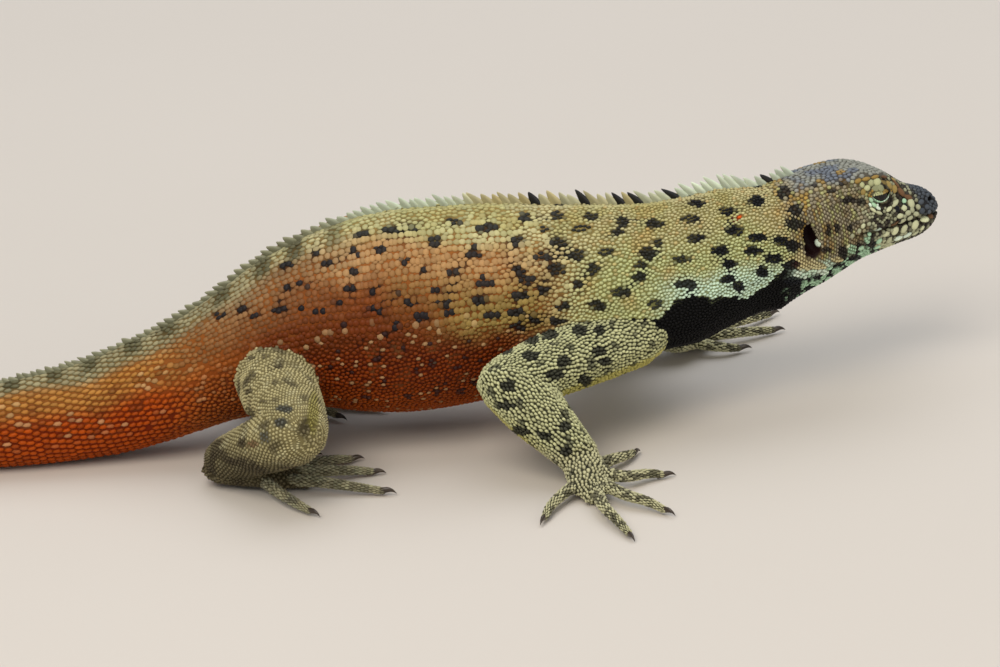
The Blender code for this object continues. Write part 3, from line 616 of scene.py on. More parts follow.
HEAD_PATCHES = [
    (858, 250, 3.2, 10, "mouth_dark"), (841, 251, 5, 6, "mouth_dark"),
    (874, 246, 2.4, 8, "mouth_dark"), (828, 231, 2.6, 6, "mouth_dark"),
    (836, 229, 2.6, 5, "mouth_dark"), (849, 201, 8, 3.2, "mouth_dark"),
    (861, 203, 5, 3, "mouth_dark"), (831, 192, 4.4, 1.6, "face_dark"),
    (814, 186, 3, 1.8, "face_dark"), (848, 228, 3, 3, "face_dark"), (826, 250, 4, 3, "face_dark"),
    (843, 184, 4, 2, "face_dark"), (850, 248, 5, 5, "jaw_mint"), (866, 251, 6, 6, "jaw_mint"),
    (867, 238, 4, 4, "jaw_mint"), (886, 244, 8, 4.4, "jaw_pale"), (836, 271, 6, 4.6, "jaw_mint"),
    (851, 262, 6, 3, "jaw_mint"), (820, 272, 6, 3, "white_mint"), (829, 279, 5, 3, "jaw_mint"),
    (812, 283, 5, 3, "jaw_mint"), (798, 274, 4, 3, "white_mint"), (803, 284, 3, 3, "jaw_mint"),
    (835, 259, 6, 3, "ear_skin"), (810, 266, 14, 4.6, "ear_skin"), (801, 258, 4, 8, "ear_skin"),
    (797, 264, 4, 3, "ear_dark"), (845, 162, 5, 2.6, "crown_blue"),
    (851, 172, 5, 2.4, "crown_blue"), (829, 179, 5, 3.4, "crown_blue"),
    (801, 194, 2, 11, "temple_gold"), (806, 203, 1.8, 12, "gold"),
    (839, 174, 5, 2.6, "temple_gold"), (822, 182, 4, 3, "temple_gold"),
    (843, 182, 3, 2.4, "temple_gold"),
]


def photo_place(points):
    """Where points of the animal fall in the photograph, in its pixels."""
    offsets = points - lens_point
    scale = CAMERA_REACH * PIXELS_PER_MM / (offsets @ ahead)
    across = PHOTO_MIDDLE[0] + (offsets @ photo_right) * scale
    down = PHOTO_MIDDLE[1] - (offsets @ photo_up) * scale
    return np.stack([across, down], axis=-1)


def ramp(values, low, high):
    """A soft step from 0 at low to 1 at high."""
    u = np.clip((values - low) / (high - low), 0.0, 1.0)
    return u * u * (3 - 2 * u)


def blend(colours, name, amount):
    """Colours drawn towards one of the palette's by an amount for each."""
    return colours + (PALETTE[name] - colours) * amount[:, None]


def cloud(points, size, seed):
    """Soft noise in -1..1 that changes over a length."""
    shift = Vector((seed * 17.3, seed * 5.1, seed * 9.7))
    return np.array([noise.noise(Vector(p) / size + shift) for p in points])


def body_place(points):
    """Each point's angle from the ridge of the back, and the trunk's middle line beside it."""
    middle_y = np.interp(points[:, 0], trunk_line[:, 0], trunk_line[:, 1])
    middle_z = np.interp(points[:, 0], trunk_line[:, 0], trunk_line[:, 2])
    left = points[:, 1] - middle_y
    high = points[:, 2] - middle_z
    return np.arctan2(-left, high), middle_y


def right_hand(points, kind):
    """Each point, or its mirror where it lies on the animal's left side."""
    mirrored = points.copy()
    _, middle_y = body_place(points)
    mirrored[:, 1] = np.where(points[:, 1] > middle_y, 2 * middle_y - points[:, 1], points[:, 1])
    local = to_head(points)
    local[:, 1] = -abs(local[:, 1])
    return np.where((kind == "head")[:, None], from_head(local), mirrored)


def inside(outline, places):
    """Which places lie inside a closed outline."""
    found = np.zeros(len(places), bool)
    x, y = places.T
    for (x0, y0), (x1, y1) in zip(outline, outline[1:] + outline[:1]):
        crosses = (y0 > y) != (y1 > y)
        found ^= crosses & (x < (x1 - x0) * (y - y0) / (y1 - y0 + 1e-9) + x0)
    return found


def spot_amount(places, spots, half, seed):
    """1 inside a spot and 0 outside, each spot of its own size."""
    draw = random.Random(seed)
    amount = np.zeros(len(places))
    for across, down in spots:
        size = np.interp(across, *SPOTS_SHRINK)
        wide = half[0] * size * draw.uniform(0.75, 1.2)
        tall = half[1] * size * draw.uniform(0.75, 1.2)
        off = abs((places[:, 0] - across) / wide) ** 1.6 + abs((places[:, 1] - down) / tall) ** 1.6
        amount = np.maximum(amount, ramp(-off, -1.25, -1.0))
    return amount


def markings(points, part_index, spot_growth=1.0, seed=1):
    """The colour of the animal at each point, linear.

    The ramps run between angles from the ridge in degrees (away, wander), stations along the
    body in millimetres (x, lx), heights in the head's frame (lz) and the photograph's pixels.
    """
    kind = kinds[part_index]
    angle, middle_y = body_place(points)
    left_side = points[:, 1] > middle_y
    away = np.degrees(abs(angle))
    mirrored = right_hand(points, kind)
    places = photo_place(mirrored)
    x = points[:, 0]
    soft = cloud(points, 9.0, seed)
    fine = cloud(points, 2.6, seed + 1)
    places[left_side, 0] += 4.0 * cloud(points[left_side], 14.0, 7)
    places[left_side, 1] += 3.0 * cloud(points[left_side], 14.0, 8)
    wander = away + 10.0 * soft

    # Trunk: cream back, tan and olive flank, rusty below, dark umber on the belly
    colours = np.tile(PALETTE["cream"], (len(points), 1))
    colours = blend(colours, "khaki", 0.7 * ramp(soft + 0.5 * fine, -0.3, 0.5))
    colours = blend(colours, "gold", 0.3 * ramp(fine + soft, 0.1, 0.7) * ramp(x, 60, 80))
    colours = blend(colours, "neck_green", 0.85 * ramp(x, 86, 106) * ramp(wander, 22, 62))
    behind = 1 - ramp(x + 8 * soft, 82, 96)
    rear = 1 - ramp(x + 9 * soft, 56, 80)
    tan_from = 26 - 20 * (1 - ramp(x, 52, 80))
    colours = blend(colours, "flank_tan", behind * ramp(wander - tan_from, 0, 16) * 0.9)
    colours = blend(colours, "olive", behind * ramp(wander, 42, 66))
    colours = blend(colours, "rust", rear * ramp(wander, 32, 56))
    colours = blend(colours, "deep_rust", rear * ramp(wander, 50, 72))
    colours = blend(colours, "deep_rust", behind * ramp(wander + 24 * rear, 82, 104))
    colours = blend(colours, "umber", behind * ramp(wander, 84, 108))
    colours = blend(colours, "belly", behind * ramp(away, 112, 140) * 0.7)
    sparks = cloud(points, 0.7, 31) > 0.42
    colours = blend(colours, "spark", 0.5 * sparks * behind * ramp(away, 66, 84))

    # Tail: a pale grey-green band above, gold, then orange below
    tail = 1 - ramp(x, 18, 42)
    colours = blend(colours, "band", (1 - ramp(x, 30, 64)) * (1 - ramp(wander, 26, 44)))
    colours = blend(colours, "tail_gold", tail * ramp(wander, 20, 38))
    colours = blend(colours, "tail_orange", tail * ramp(wander, 52, 84))
    tail_side = tail * ramp(wander, 30, 50) * (1 - ramp(wander, 100, 120))
    colours = blend(colours, "spark", 0.5 * tail_side * ramp(cloud(points, 1.2, 41), 0.3, 0.4))
    colours = blend(colours, "deep_rust", 0.5 * tail_side * ramp(cloud(points, 1.5, 42), 0.25, 0.4))
    saddle = (1 - ramp(abs(x - 38), 8, 20)) * ramp(wander, 14, 28) * (1 - ramp(wander, 54, 76))
    colours = blend(colours, "saddle_brown", 0.7 * saddle)
    blotch = np.zeros(len(points))
    for across in TAIL_BLOTCHES:
        blotch = np.maximum(blotch, 1 - ramp(abs(places[:, 0] - across), 5, 11))
    colours = blend(colours, "band_dark", blotch * (1 - ramp(away, 14, 24)) * (1 - ramp(x, 50, 60)))

    # Neck and shoulder: rosy gold in the folds, mint above the black patch, black throat
    fore = ramp(x, 90, 100)
    colours = blend(colours, "fold_gold", fore * 0.3 * ramp(cloud(points, 5.0, 5), 0.25, 0.5))
    colours = blend(colours, "fold_gold", fore * 0.32 * ramp(cloud(points, 0.7, 33), 0.3, 0.45))
    mint_from = 268 - 12 * ramp(places[:, 0], 700, 735)
    mint_line = ramp(places[:, 1] - mint_from, 0, 22) * ramp(places[:, 0], 640, 690)
    colours = blend(colours, "mint", fore * mint_line * 0.9)
    throat = inside(BLACK_PATCH, places)
    throat |= (away > 118 + 16 * ramp(x, 114, 126)) & (x > 105) & (places[:, 0] > 640)
    colours[throat] = PALETTE["black"]
    half = np.array(SPOT_HALF) * spot_growth
    belly_half = np.array(BELLY_SPOT_HALF) * spot_growth
    spots = spot_amount(places, BODY_SPOTS, half, 3)
    spots = np.maximum(spots, 0.85 * spot_amount(places, BELLY_SPOTS, belly_half, 4))
    colours = blend(colours, "blue_black", spots * 0.96)
    flame = np.hypot(places[:, 0] - FLAME_SCALE[0], places[:, 1] - FLAME_SCALE[1]) < FLAME_REACH
    colours[flame & ~left_side] = PALETTE["orange"]

    # Forelimbs and hands, hind limbs and feet
    name_of = np.array(FLESH)[part_index]
    is_arm = np.char.startswith(name_of, ("upper_arm")) | np.char.startswith(name_of, "forearm")
    is_arm |= np.char.startswith(name_of, "hand") | np.char.startswith(name_of, "finger")
    is_leg = (kind != "trunk") & (kind != "head") & ~is_arm
    arm = np.tile(PALETTE["arm"], (len(points), 1))
    arm = blend(arm, "arm_low", ramp(-normal_z(points), 0.1, 0.8) * 0.7)
    arm = blend(arm, "hand", 1 - ramp(points[:, 2], 5, 9))
    arm_spots = spot_amount(places, ARM_SPOTS, half, 5) * ~left_side
    wild = ramp(cloud(points, 2.2, 11), 0.34, 0.46)
    arm_spots = np.maximum(arm_spots, wild * np.where(left_side, 1.0, 0.8))
    arm = blend(arm, "blue_black", arm_spots * 0.92 * (kind != "digit"))
    leg = np.tile(PALETTE["leg"], (len(points), 1))
    leg = blend(leg, "leg_dark", 0.85 * ramp(cloud(points, 3.2, 13), 0.0, 0.5))
    leg = blend(leg, "leg_pale", 0.8 * ramp(cloud(points, 2.0, 14), 0.25, 0.5))
    low_leg = (1 - ramp(points[:, 2] + 2 * soft, 5, 15)) * (kind != "digit")
    leg = blend(leg, "leg_dark", 0.85 * low_leg)
    for across, down, wide, tall, name in LEG_PATCHES:
        off = ((places[:, 0] - across) / wide) ** 2 + ((places[:, 1] - down) / tall) ** 2
        leg = blend(leg, name, 0.85 * ramp(-off - 0.5 * fine, -1.5, -0.6) * ~left_side)
    leg = blend(leg, "foot_dark", 0.55 * (kind == "digit"))
    leg = blend(leg, "foot_pale", 0.6 * (kind == "digit") * ramp(cloud(points, 0.9, 16), 0.1, 0.3))
    colours = np.where(is_arm[:, None], arm, colours)
    colours = np.where(is_leg[:, None], leg, colours)
    ringed = (kind == "digit") & (cloud(points, 1.2, 15) > 0.12)
    colours = blend(colours, "digit_dark", np.where(is_leg, 0.45, 0.75) * ringed)

    # Head: grey crown, streaked brown temple, dark face under pale plates, slate snout, and a
    # black throat barred with mint
    local = to_head(mirrored)
    lx, ly, lz = local.T
    head = np.tile(PALETTE["temple"], (len(points), 1))
    streaks = cloud(local * (1.0, 0.3, 0.22), 0.75, 17)
    head = blend(head, "temple_gold", ramp(streaks, -0.1, 0.3) * (1 - 0.6 * ramp(lx, 1, 8)))
    head = blend(head, "khaki", 0.8 * ramp(cloud(local * (1.0, 0.3, 0.3), 0.6, 18), 0.1, 0.35))
    head = blend(head, "face_dark", 0.6 * ramp(cloud(local, 0.9, 19), 0.2, 0.4) * ramp(lx, 3, 8))
    head = blend(head, "mouth_dark", 0.9 * ramp(lx + 0.4 * (31 - lz), 11.0, 13.5))
    head = blend(head, "cheek", 0.8 * ramp(cloud(points, 0.8, 20), -0.05, 0.2) * ramp(lx, 10, 13))
    crown_rim = 35.6 + 1.0 * (1 - ramp(lx, 3, 10))
    top = ramp(lz - 0.5 * abs(ly) + 0.5 * fine - crown_rim, 0, 1.2) * (1 - ramp(lx, 18, 22))
    top *= ramp(lx + 0.6 * fine, -0.5, 2.5)
    head = blend(head, "crown", top)
    head = blend(head, "crown_blue", top * ramp(soft + fine, 0.0, 0.6))
    above_lip = ramp(lz, 28.2, 29.2)
    head = blend(head, "snout", above_lip * ramp(lx + 0.5 * soft + 0.3 * (lz - 31), 24.5, 26.5))
    head = blend(head, "mint", 0.85 * ramp(-lz, -27.6, -26.4) * (1 - ramp(lx, 4, 8)))
    low_line = 28.2 - 0.12 * lx - 3.4 * (1 - ramp(lx, 1, 8))
    low = ramp(low_line + 0.5 * fine - lz, 0, 1.2)
    head = blend(head, "black", low)
    bars = ramp(np.sin(lx * 1.7 + 0.7), 0.1, 0.6)
    beads = ramp(cloud(points, 1.1, 23), -0.1, 0.2)
    head = blend(head, "jaw_mint", low * bars * beads * ramp(lz, 18.5, 21))
    below_ear = ramp(-(((lx + 1.5) / 2.6) ** 2 + ((lz - 27.8) / 1.3) ** 2), -1.3, -0.7)
    head = blend(head, "ear_skin", below_ear)
    head = blend(head, "ear_dark", ramp(-ear_gap(local), -1.15, -0.9))
    nostril = (((lx - NOSTRIL[0]) / NOSTRIL_OPEN[0]) ** 2
               + ((lz - NOSTRIL[2]) / NOSTRIL_OPEN[1]) ** 2)
    head = blend(head, "black", ramp(-nostril, -0.9, -0.5) * (abs(ly) > 1.2))
    near_head = ((kind == "head") | (kind == "trunk")) & (x > 118)
    on_head = ramp(lx + 0.8 * fine, -4.5, -0.5) * near_head
    colours += (head - colours) * on_head[:, None]
    colours = blend(colours, "blue_black", 0.9 * spots * near_head)
    for across, down, wide, tall, name in HEAD_PATCHES:
        off = ((places[:, 0] - across) / wide) ** 2 + ((places[:, 1] - down) / tall) ** 2
        colours = blend(colours, name, 0.92 * ramp(-off - 0.3 * fine, -1.3, -0.8) * near_head)
    return np.clip(colours, 0.0, 1.0)


def normal_z(points):
    """How far the skin faces up at each point."""
    return np.array([skin_shell.find_nearest(Vector(p))[1].z for p in points])


def point_colours(mesh, name, colours):
    """Keeps a colour for each point of a mesh."""
    layer = mesh.color_attributes.new(name, "FLOAT_COLOR", "POINT")
    flat = np.ones((len(colours), 4), np.float32)
    flat[:, :3] = colours
    layer.data.foreach_set("color", flat.ravel())


# Between its scales the skin shows the same markings, darker: partly the hide's own orange-brown on
# back and flank, partly painted shade in the gaps between the scales, almost black on the
# forelimbs.
GAP_TONE_AND_SHADE = {
    "back": (0.62, 0.47, 0.3), "flank": (0.45, 0.28, 0.16), "neck": (0.44, 0.4, 0.26),
    "head": (0.34, 0.3, 0.27), "arm": (0.07, 0.07, 0.06), "leg": (0.4, 0.38, 0.32),
}


def gap_tone_and_shade(points, part_index):
    """How much darker the skin is than the scales at each point: its own tone and painted shade."""
    tint = {name: np.array(value) for name, value in GAP_TONE_AND_SHADE.items()}
    name_of = np.array(FLESH)[part_index]
    kind = kinds[part_index]
    away = np.degrees(abs(body_place(points)[0]))
    down_flank = ramp(away, 40, 75)[:, None]
    tints = tint["back"] + (tint["flank"] - tint["back"]) * down_flank
    tints += (tint["neck"] - tints) * ramp(points[:, 0], 84, 104)[:, None]
    tints[kind == "head"] = tint["head"]
    on_limb = (kind == "limb") | (kind == "digit")
    for word, group in (("arm", "arm"), ("hand", "arm"), ("finger", "arm"), ("thigh", "leg"),
                        ("shank", "leg"), ("foot", "leg"), ("toe", "leg")):
        tints[on_limb & (np.char.find(name_of, word) >= 0)] = tint[group]
    return tints


SKIN_SPOT_GROWTH = 1.42
skin_colours = markings(points, parts, SKIN_SPOT_GROWTH)
paleness = ramp(skin_colours.mean(1), 0.02, 0.07)
skin_colours *= gap_tone_and_shade(points, parts)
skin_away = np.degrees(abs(body_place(points)[0]))
creased = ramp(skin_away, 16, 36) * (1 - ramp(skin_away, 76, 96)) * (kinds[parts] == "trunk")
creased *= ramp(points[:, 0], 10, 30) * (1 - ramp(points[:, 0], 76, 104)) * paleness
skin_colours = blend(skin_colours, "crease", 0.4 * creased)
point_colours(skin_mesh, "marking", skin_colours)


def marked_material(name, colour, roughness, shine):
    """A material that takes its colour from a piece's own markings."""
    made, shader = new_material(name, colour, roughness)
    shader.inputs["Specular IOR Level"].default_value = shine
    marking = add_node(made, "ShaderNodeAttribute", settings={"attribute_name": "marking"})
    made.node_tree.links.new(marking.outputs["Color"], shader.inputs["Base Color"])
    return made


# Dry hide between the scales: dull and soft; its dark colour, partly painted shade, makes each
# scale stand out from it.
hide = marked_material("lizard_hide", "#6b5a36", 0.62, 0.12)
skin_mesh.materials.clear()
skin_mesh.materials.append(hide)
write_points(skin_mesh, to_shared(points))
skin_mesh.shade_smooth()
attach(skin, "root")
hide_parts(*FLESH)

# Scales
# Keeled scales in rows along the trunk, whorls round the tail, small plates and grains on head,
# limbs and digits. Each is a low horny plate rooted in the skin with its tip to the rear.
SCALE_SIDES = 6
SCALE_SHOULDER = 0.62
SCALE_ROOT = 0.45
KEEL_RISE = 0.35
BOSS_ROOT = 0.3


def read_form(bm):
    """The points and triangles of a finished form."""
    bmesh.ops.triangulate(bm, faces=bm.faces)
    bmesh.ops.recalc_face_normals(bm, faces=bm.faces)
    bm.verts.index_update()
    shape = np.array([vert.co[:] for vert in bm.verts])
    faces = np.array([[vert.index for vert in face.verts] for face in bm.faces])
    bm.free()
    return shape, faces


def scale_form(tip, keel, crown, sides=SCALE_SIDES, turn=90.0, radius=0.5, root_painted_shade=0.6):
    """One closed scale of unit size, its tip towards +x: points, triangles and the painted shading
    of each.

    Tip is how far it is drawn out behind, keel how sharp its ridge is, and crown the size of its
    upper rim.
    """
    bm = bmesh.new()
    bmesh.ops.create_circle(bm, cap_ends=True, segments=sides, radius=radius,
                            matrix=Matrix.Rotation(math.radians(turn), 4, "Z"))
    grown = bmesh.ops.extrude_face_region(bm, geom=bm.faces[:])
    upper = [item for item in grown["geom"] if isinstance(item, bmesh.types.BMVert)]
    lower = [vert for vert in bm.verts if vert not in upper]
    bmesh.ops.scale(bm, vec=(crown, crown, 1.0), verts=upper)
    bmesh.ops.translate(bm, vec=(0.0, 0.0, SCALE_SHOULDER), verts=upper)
    bmesh.ops.translate(bm, vec=(0.0, 0.0, -SCALE_ROOT), verts=lower)
    lid = max(bm.faces, key=lambda face: face.calc_center_median().z)
    middle = bmesh.ops.poke(bm, faces=[lid])["verts"][0]
    middle.co.z = 1.0
    middle.co.x += 0.1 * keel
    for vert in bm.verts:
        if vert.co.x > 0.1:
            vert.co.x += tip * (vert.co.x - 0.1) * (1.0 - 1.2 * abs(vert.co.y))
            vert.co.z += KEEL_RISE * keel * vert.co.x
    shape, faces = read_form(bm)
    # Painted shading: darker at the root, as painted shade in the gaps between scales, and lighter
    # on the crown and keel, as painted highlight.
    painted_shading = np.interp(shape[:, 2], [-0.2, 0.6, 1.0], [root_painted_shade, 1.0, 1.08])
    return shape, faces, painted_shading


def boss_form():
    """A smooth low boss of unit size, its rim sunk in the skin."""
    bm = bmesh.new()
    bmesh.ops.create_uvsphere(bm, u_segments=10, v_segments=6, radius=0.5)
    bmesh.ops.delete(bm, geom=[v for v in bm.verts if v.co.z < -BOSS_ROOT], context="VERTS")
    for vert in bm.verts:
        vert.co.z = 2.0 * vert.co.z if vert.co.z > 0 else vert.co.z
        vert.co.z *= 0.9
    rim = [edge for edge in bm.edges if edge.is_boundary]
    bmesh.ops.holes_fill(bm, edges=rim, sides=0)
    shape, faces = read_form(bm)
    # Painted shading as on the scales: darker at the sunk rim, lighter on the top.
    return shape, faces, np.interp(shape[:, 2], [-0.2, 0.5, 0.9], [0.55, 0.95, 1.1])


FORMS = {
    "keeled": scale_form(0.5, 1.0, 0.6, root_painted_shade=0.7),
    "pointed": scale_form(0.8, 1.5, 0.5),
    "brick": scale_form(0.5, 0.6, 0.84, sides=8, turn=22.5, radius=0.54, root_painted_shade=0.74),
    "plate": scale_form(0.0, 0.0, 0.78),
    "grain": scale_form(0.15, 0.3, 0.55),
    "boss": boss_form(),
}

sites = []
taken = {}
CELL = 1.0


def is_free(place, reach):
    """Whether no scale is rooted within reach of a place."""
    x, y, z = place
    i, j, k = int(x // CELL), int(y // CELL), int(z // CELL)
    limit = reach * reach
    for a in (i - 1, i, i + 1):
        for b in (j - 1, j, j + 1):
            for c in (k - 1, k, k + 1):
                for u, v, w in taken.get((a, b, c), ()):
                    if (u - x) ** 2 + (v - y) ** 2 + (w - z) ** 2 < limit:
                        return False
    return True


def hold(place):
    """Keeps a place from being given to another scale."""
    cell = tuple(int(c // CELL) for c in place)
    taken.setdefault(cell, []).append(tuple(place))


def take(place, normal, lie, size, form, part, colour=None):
    """Roots one scale at a place of the skin. Size is its length, width and height."""
    hold(place)
    sites.append((place, normal, lie, size, form, part, colour))


def run_of(line):
    """How far along itself each point of a line lies."""
    return np.concatenate([[0], np.cumsum(np.linalg.norm(np.diff(line, axis=0), axis=1))])


def point_along(line, run, at):
    """The point of a line at a distance along it."""
    return np.array([np.interp(at, run, line[:, axis]) for axis in range(3)])


ROW_START = 0.2
ROW_CAST = 60.0
OVER_SKIN = 0.9
LEAST_FACING = 0.15
NODE_OVERLAP = 8
WIDEST_GAP = 2.5
WIDEST_SCALE = 1.6
ROW_JITTER = (0.22, 0.15)
SWAY_LENGTHS = (7.0, 15.0)
# The noise that bends the rows starts from the clock unless it is given a seed, and each run has
# to lay the same rows.
SWAY_SEED = 5
noise.seed_set(SWAY_SEED)


def lay_rows(names, line, pitch, around, size, form, reach, keep=None, offset=0.5, sway=0.0):
    """Rings of scales round a middle line, each set round by an offset from the last.

    The pitch and the number around are given by a function of where the ring is. The size is a
    scale's length and width in pitches and its height in millimetres. Sway bends the rings and
    rows by about its length.
    """
    run = run_of(line)
    row_draw = random.Random(len(line))
    row = 0
    at = ROW_START
    while at < run[-1]:
        middle = point_along(line, run, at)
        along = point_along(line, run, at + 2.0) - point_along(line, run, at - 2.0)
        along = Vector(along).normalized()
        across = Vector((0, 0, 1)).cross(along).normalized()
        rise = along.cross(across)
        count = around(middle[0])
        step = pitch(middle[0])
        centre = Vector(middle)
        near_names = [name for name in names
                      if samples[name][:, 0].min() - NODE_OVERLAP < middle[0]
                      < samples[name][:, 0].max() + NODE_OVERLAP]
        row_hits = []
        for k in range(count):
            turn = 2 * math.pi * (k + offset * (row % 2)) / count
            origin = centre
            if sway:
                round_it = (3.0 * math.cos(turn), 3.0 * math.sin(turn), at / SWAY_LENGTHS[0])
                drift = noise.noise_vector(Vector(round_it))
                jitter = row_draw.uniform(-ROW_JITTER[0], ROW_JITTER[0])
                origin = centre + along * (sway * (drift.x + jitter))
                jitter = row_draw.uniform(-ROW_JITTER[1], ROW_JITTER[1])
                turn += sway * (0.6 * drift.y + jitter) / SWAY_LENGTHS[1]
            way = rise * math.cos(turn) + across * math.sin(turn)
            outer = 0.0
            for name in near_names:
                hit = shells[name].ray_cast(origin + way * ROW_CAST, -way, ROW_CAST)
                if hit[0] is not None:
                    outer = max(outer, ROW_CAST - hit[3])
            if outer == 0.0:
                row_hits.append(None)
                continue
            hit = skin_shell.ray_cast(origin + way * (outer + OVER_SKIN), -way, reach)
            good = hit[0] is not None and hit[1].dot(way) > LEAST_FACING
            row_hits.append((hit[0], hit[1]) if good else None)
        for k, found in enumerate(row_hits):
            if found is None:
                continue
            place, normal = found
            left, right = row_hits[k - 1], row_hits[(k + 1) % count]
            gaps = [(other[0] - place).length for other in (left, right) if other]
            width = sum(gaps) / len(gaps) if gaps else step
            if width > WIDEST_GAP * step or (keep and not keep(place)):
                continue
            width = min(width, WIDEST_SCALE * step)
            if is_free(place, 0.5 * min(width, step)):
                grown = (step * size[0], width * size[1], size[2])
                lie = -along if names[0] in TRUNK_NODES + HEAD_NODES else along
                take(place, normal, lie, grown, form, names)
        row += 1
        at += step


# Rows on trunk and tail
# On the back and flank broad scales stand in straight rows along the body, side by side; on the
# tail longer keeled ones stand in rings, each set half a scale round from the last.
BACK_FROM = 24.0
BACK_TO = 98.0
BACK_ROWS = 74
BACK_PITCH = 0.98
BACK_SWAY = 0.9
BACK_SCALE = (1.1, 0.96, 0.18)
TAIL_SCALE = (1.3, 0.92, 0.32)
TRUNK_REACH = 5.0
ROWS_MEET = 8
TAIL_ROWS_AT = (-152, -100, -50, 0, 24)
TAIL_ROWS = (8, 18, 28, 40, 54)
TAIL_PITCH = (1.4, 1.5, 1.5, 1.35, 1.15)


def tail_rows(x):
    return int(np.interp(x, TAIL_ROWS_AT, TAIL_ROWS))


def tail_pitch(x):
    return float(np.interp(x, TAIL_ROWS_AT, TAIL_PITCH))


def row_share(places):
    """How far the scales stand in straight rows: fully on the flank, and less towards its edges."""
    away = np.degrees(abs(body_place(places)[0]))
    share = ramp(away, 4, 18) * (1 - ramp(away, 76, 94))
    return share * ramp(places[:, 0], BACK_FROM, 34) * (1 - ramp(places[:, 0], 78, BACK_TO))


def in_back_rows(place):
    """Keeps a scale of the back's rows less often towards their edges."""
    return row_pick.random() < row_share(np.array([place]))[0]


def in_tail_rows(place):
    """Keeps a scale of the tail's rings less often where the back's rows start."""
    return row_pick.random() > (place.x - BACK_FROM + ROWS_MEET) / (2 * ROWS_MEET)


row_pick = random.Random(12)
back_line = trunk_line[(trunk_line[:, 0] > BACK_FROM) & (trunk_line[:, 0] < BACK_TO)]
tail_line = trunk_line[trunk_line[:, 0] < BACK_FROM + ROWS_MEET]
lay_rows(TRUNK_NODES, back_line, lambda x: BACK_PITCH, lambda x: BACK_ROWS, BACK_SCALE, "brick",
         TRUNK_REACH, in_back_rows, 0.0, BACK_SWAY)
lay_rows(TRUNK_NODES, tail_line, tail_pitch, tail_rows, TAIL_SCALE, "keeled", TRUNK_REACH,
         in_tail_rows)

# Rings on legs and digits
# Round the thigh and shank small grains stand in close rings, and round each digit a few keeled
# scales, on top and below alike.
LEG_ROWS = {"thigh": 58, "shank": 40}
LEG_PITCH = 0.74
LEG_SCALE = (0.92, 1.02, 0.26)
LEG_REACH = 1.8
LEG_SWAY = 0.3
for (limb, side), names in limbs.items():
    for name in names[:2]:
        if limb == "leg":
            rows = LEG_ROWS[name[:5]]
            lay_rows([name], lines[name], lambda x: LEG_PITCH, lambda x: rows, LEG_SCALE,
                     "grain", LEG_REACH, sway=LEG_SWAY)
DIGIT_ROWS = 9
DIGIT_PITCH = 0.7
DIGIT_SCALE = (1.35, 0.92, 0.22)
DIGIT_REACH = 1.6
for names in limbs.values():
    for name in names:
        if node_kind(name) == "digit":
            lay_rows([name], lines[name], lambda x: DIGIT_PITCH, lambda x: DIGIT_ROWS,
                     DIGIT_SCALE, "keeled", DIGIT_REACH)

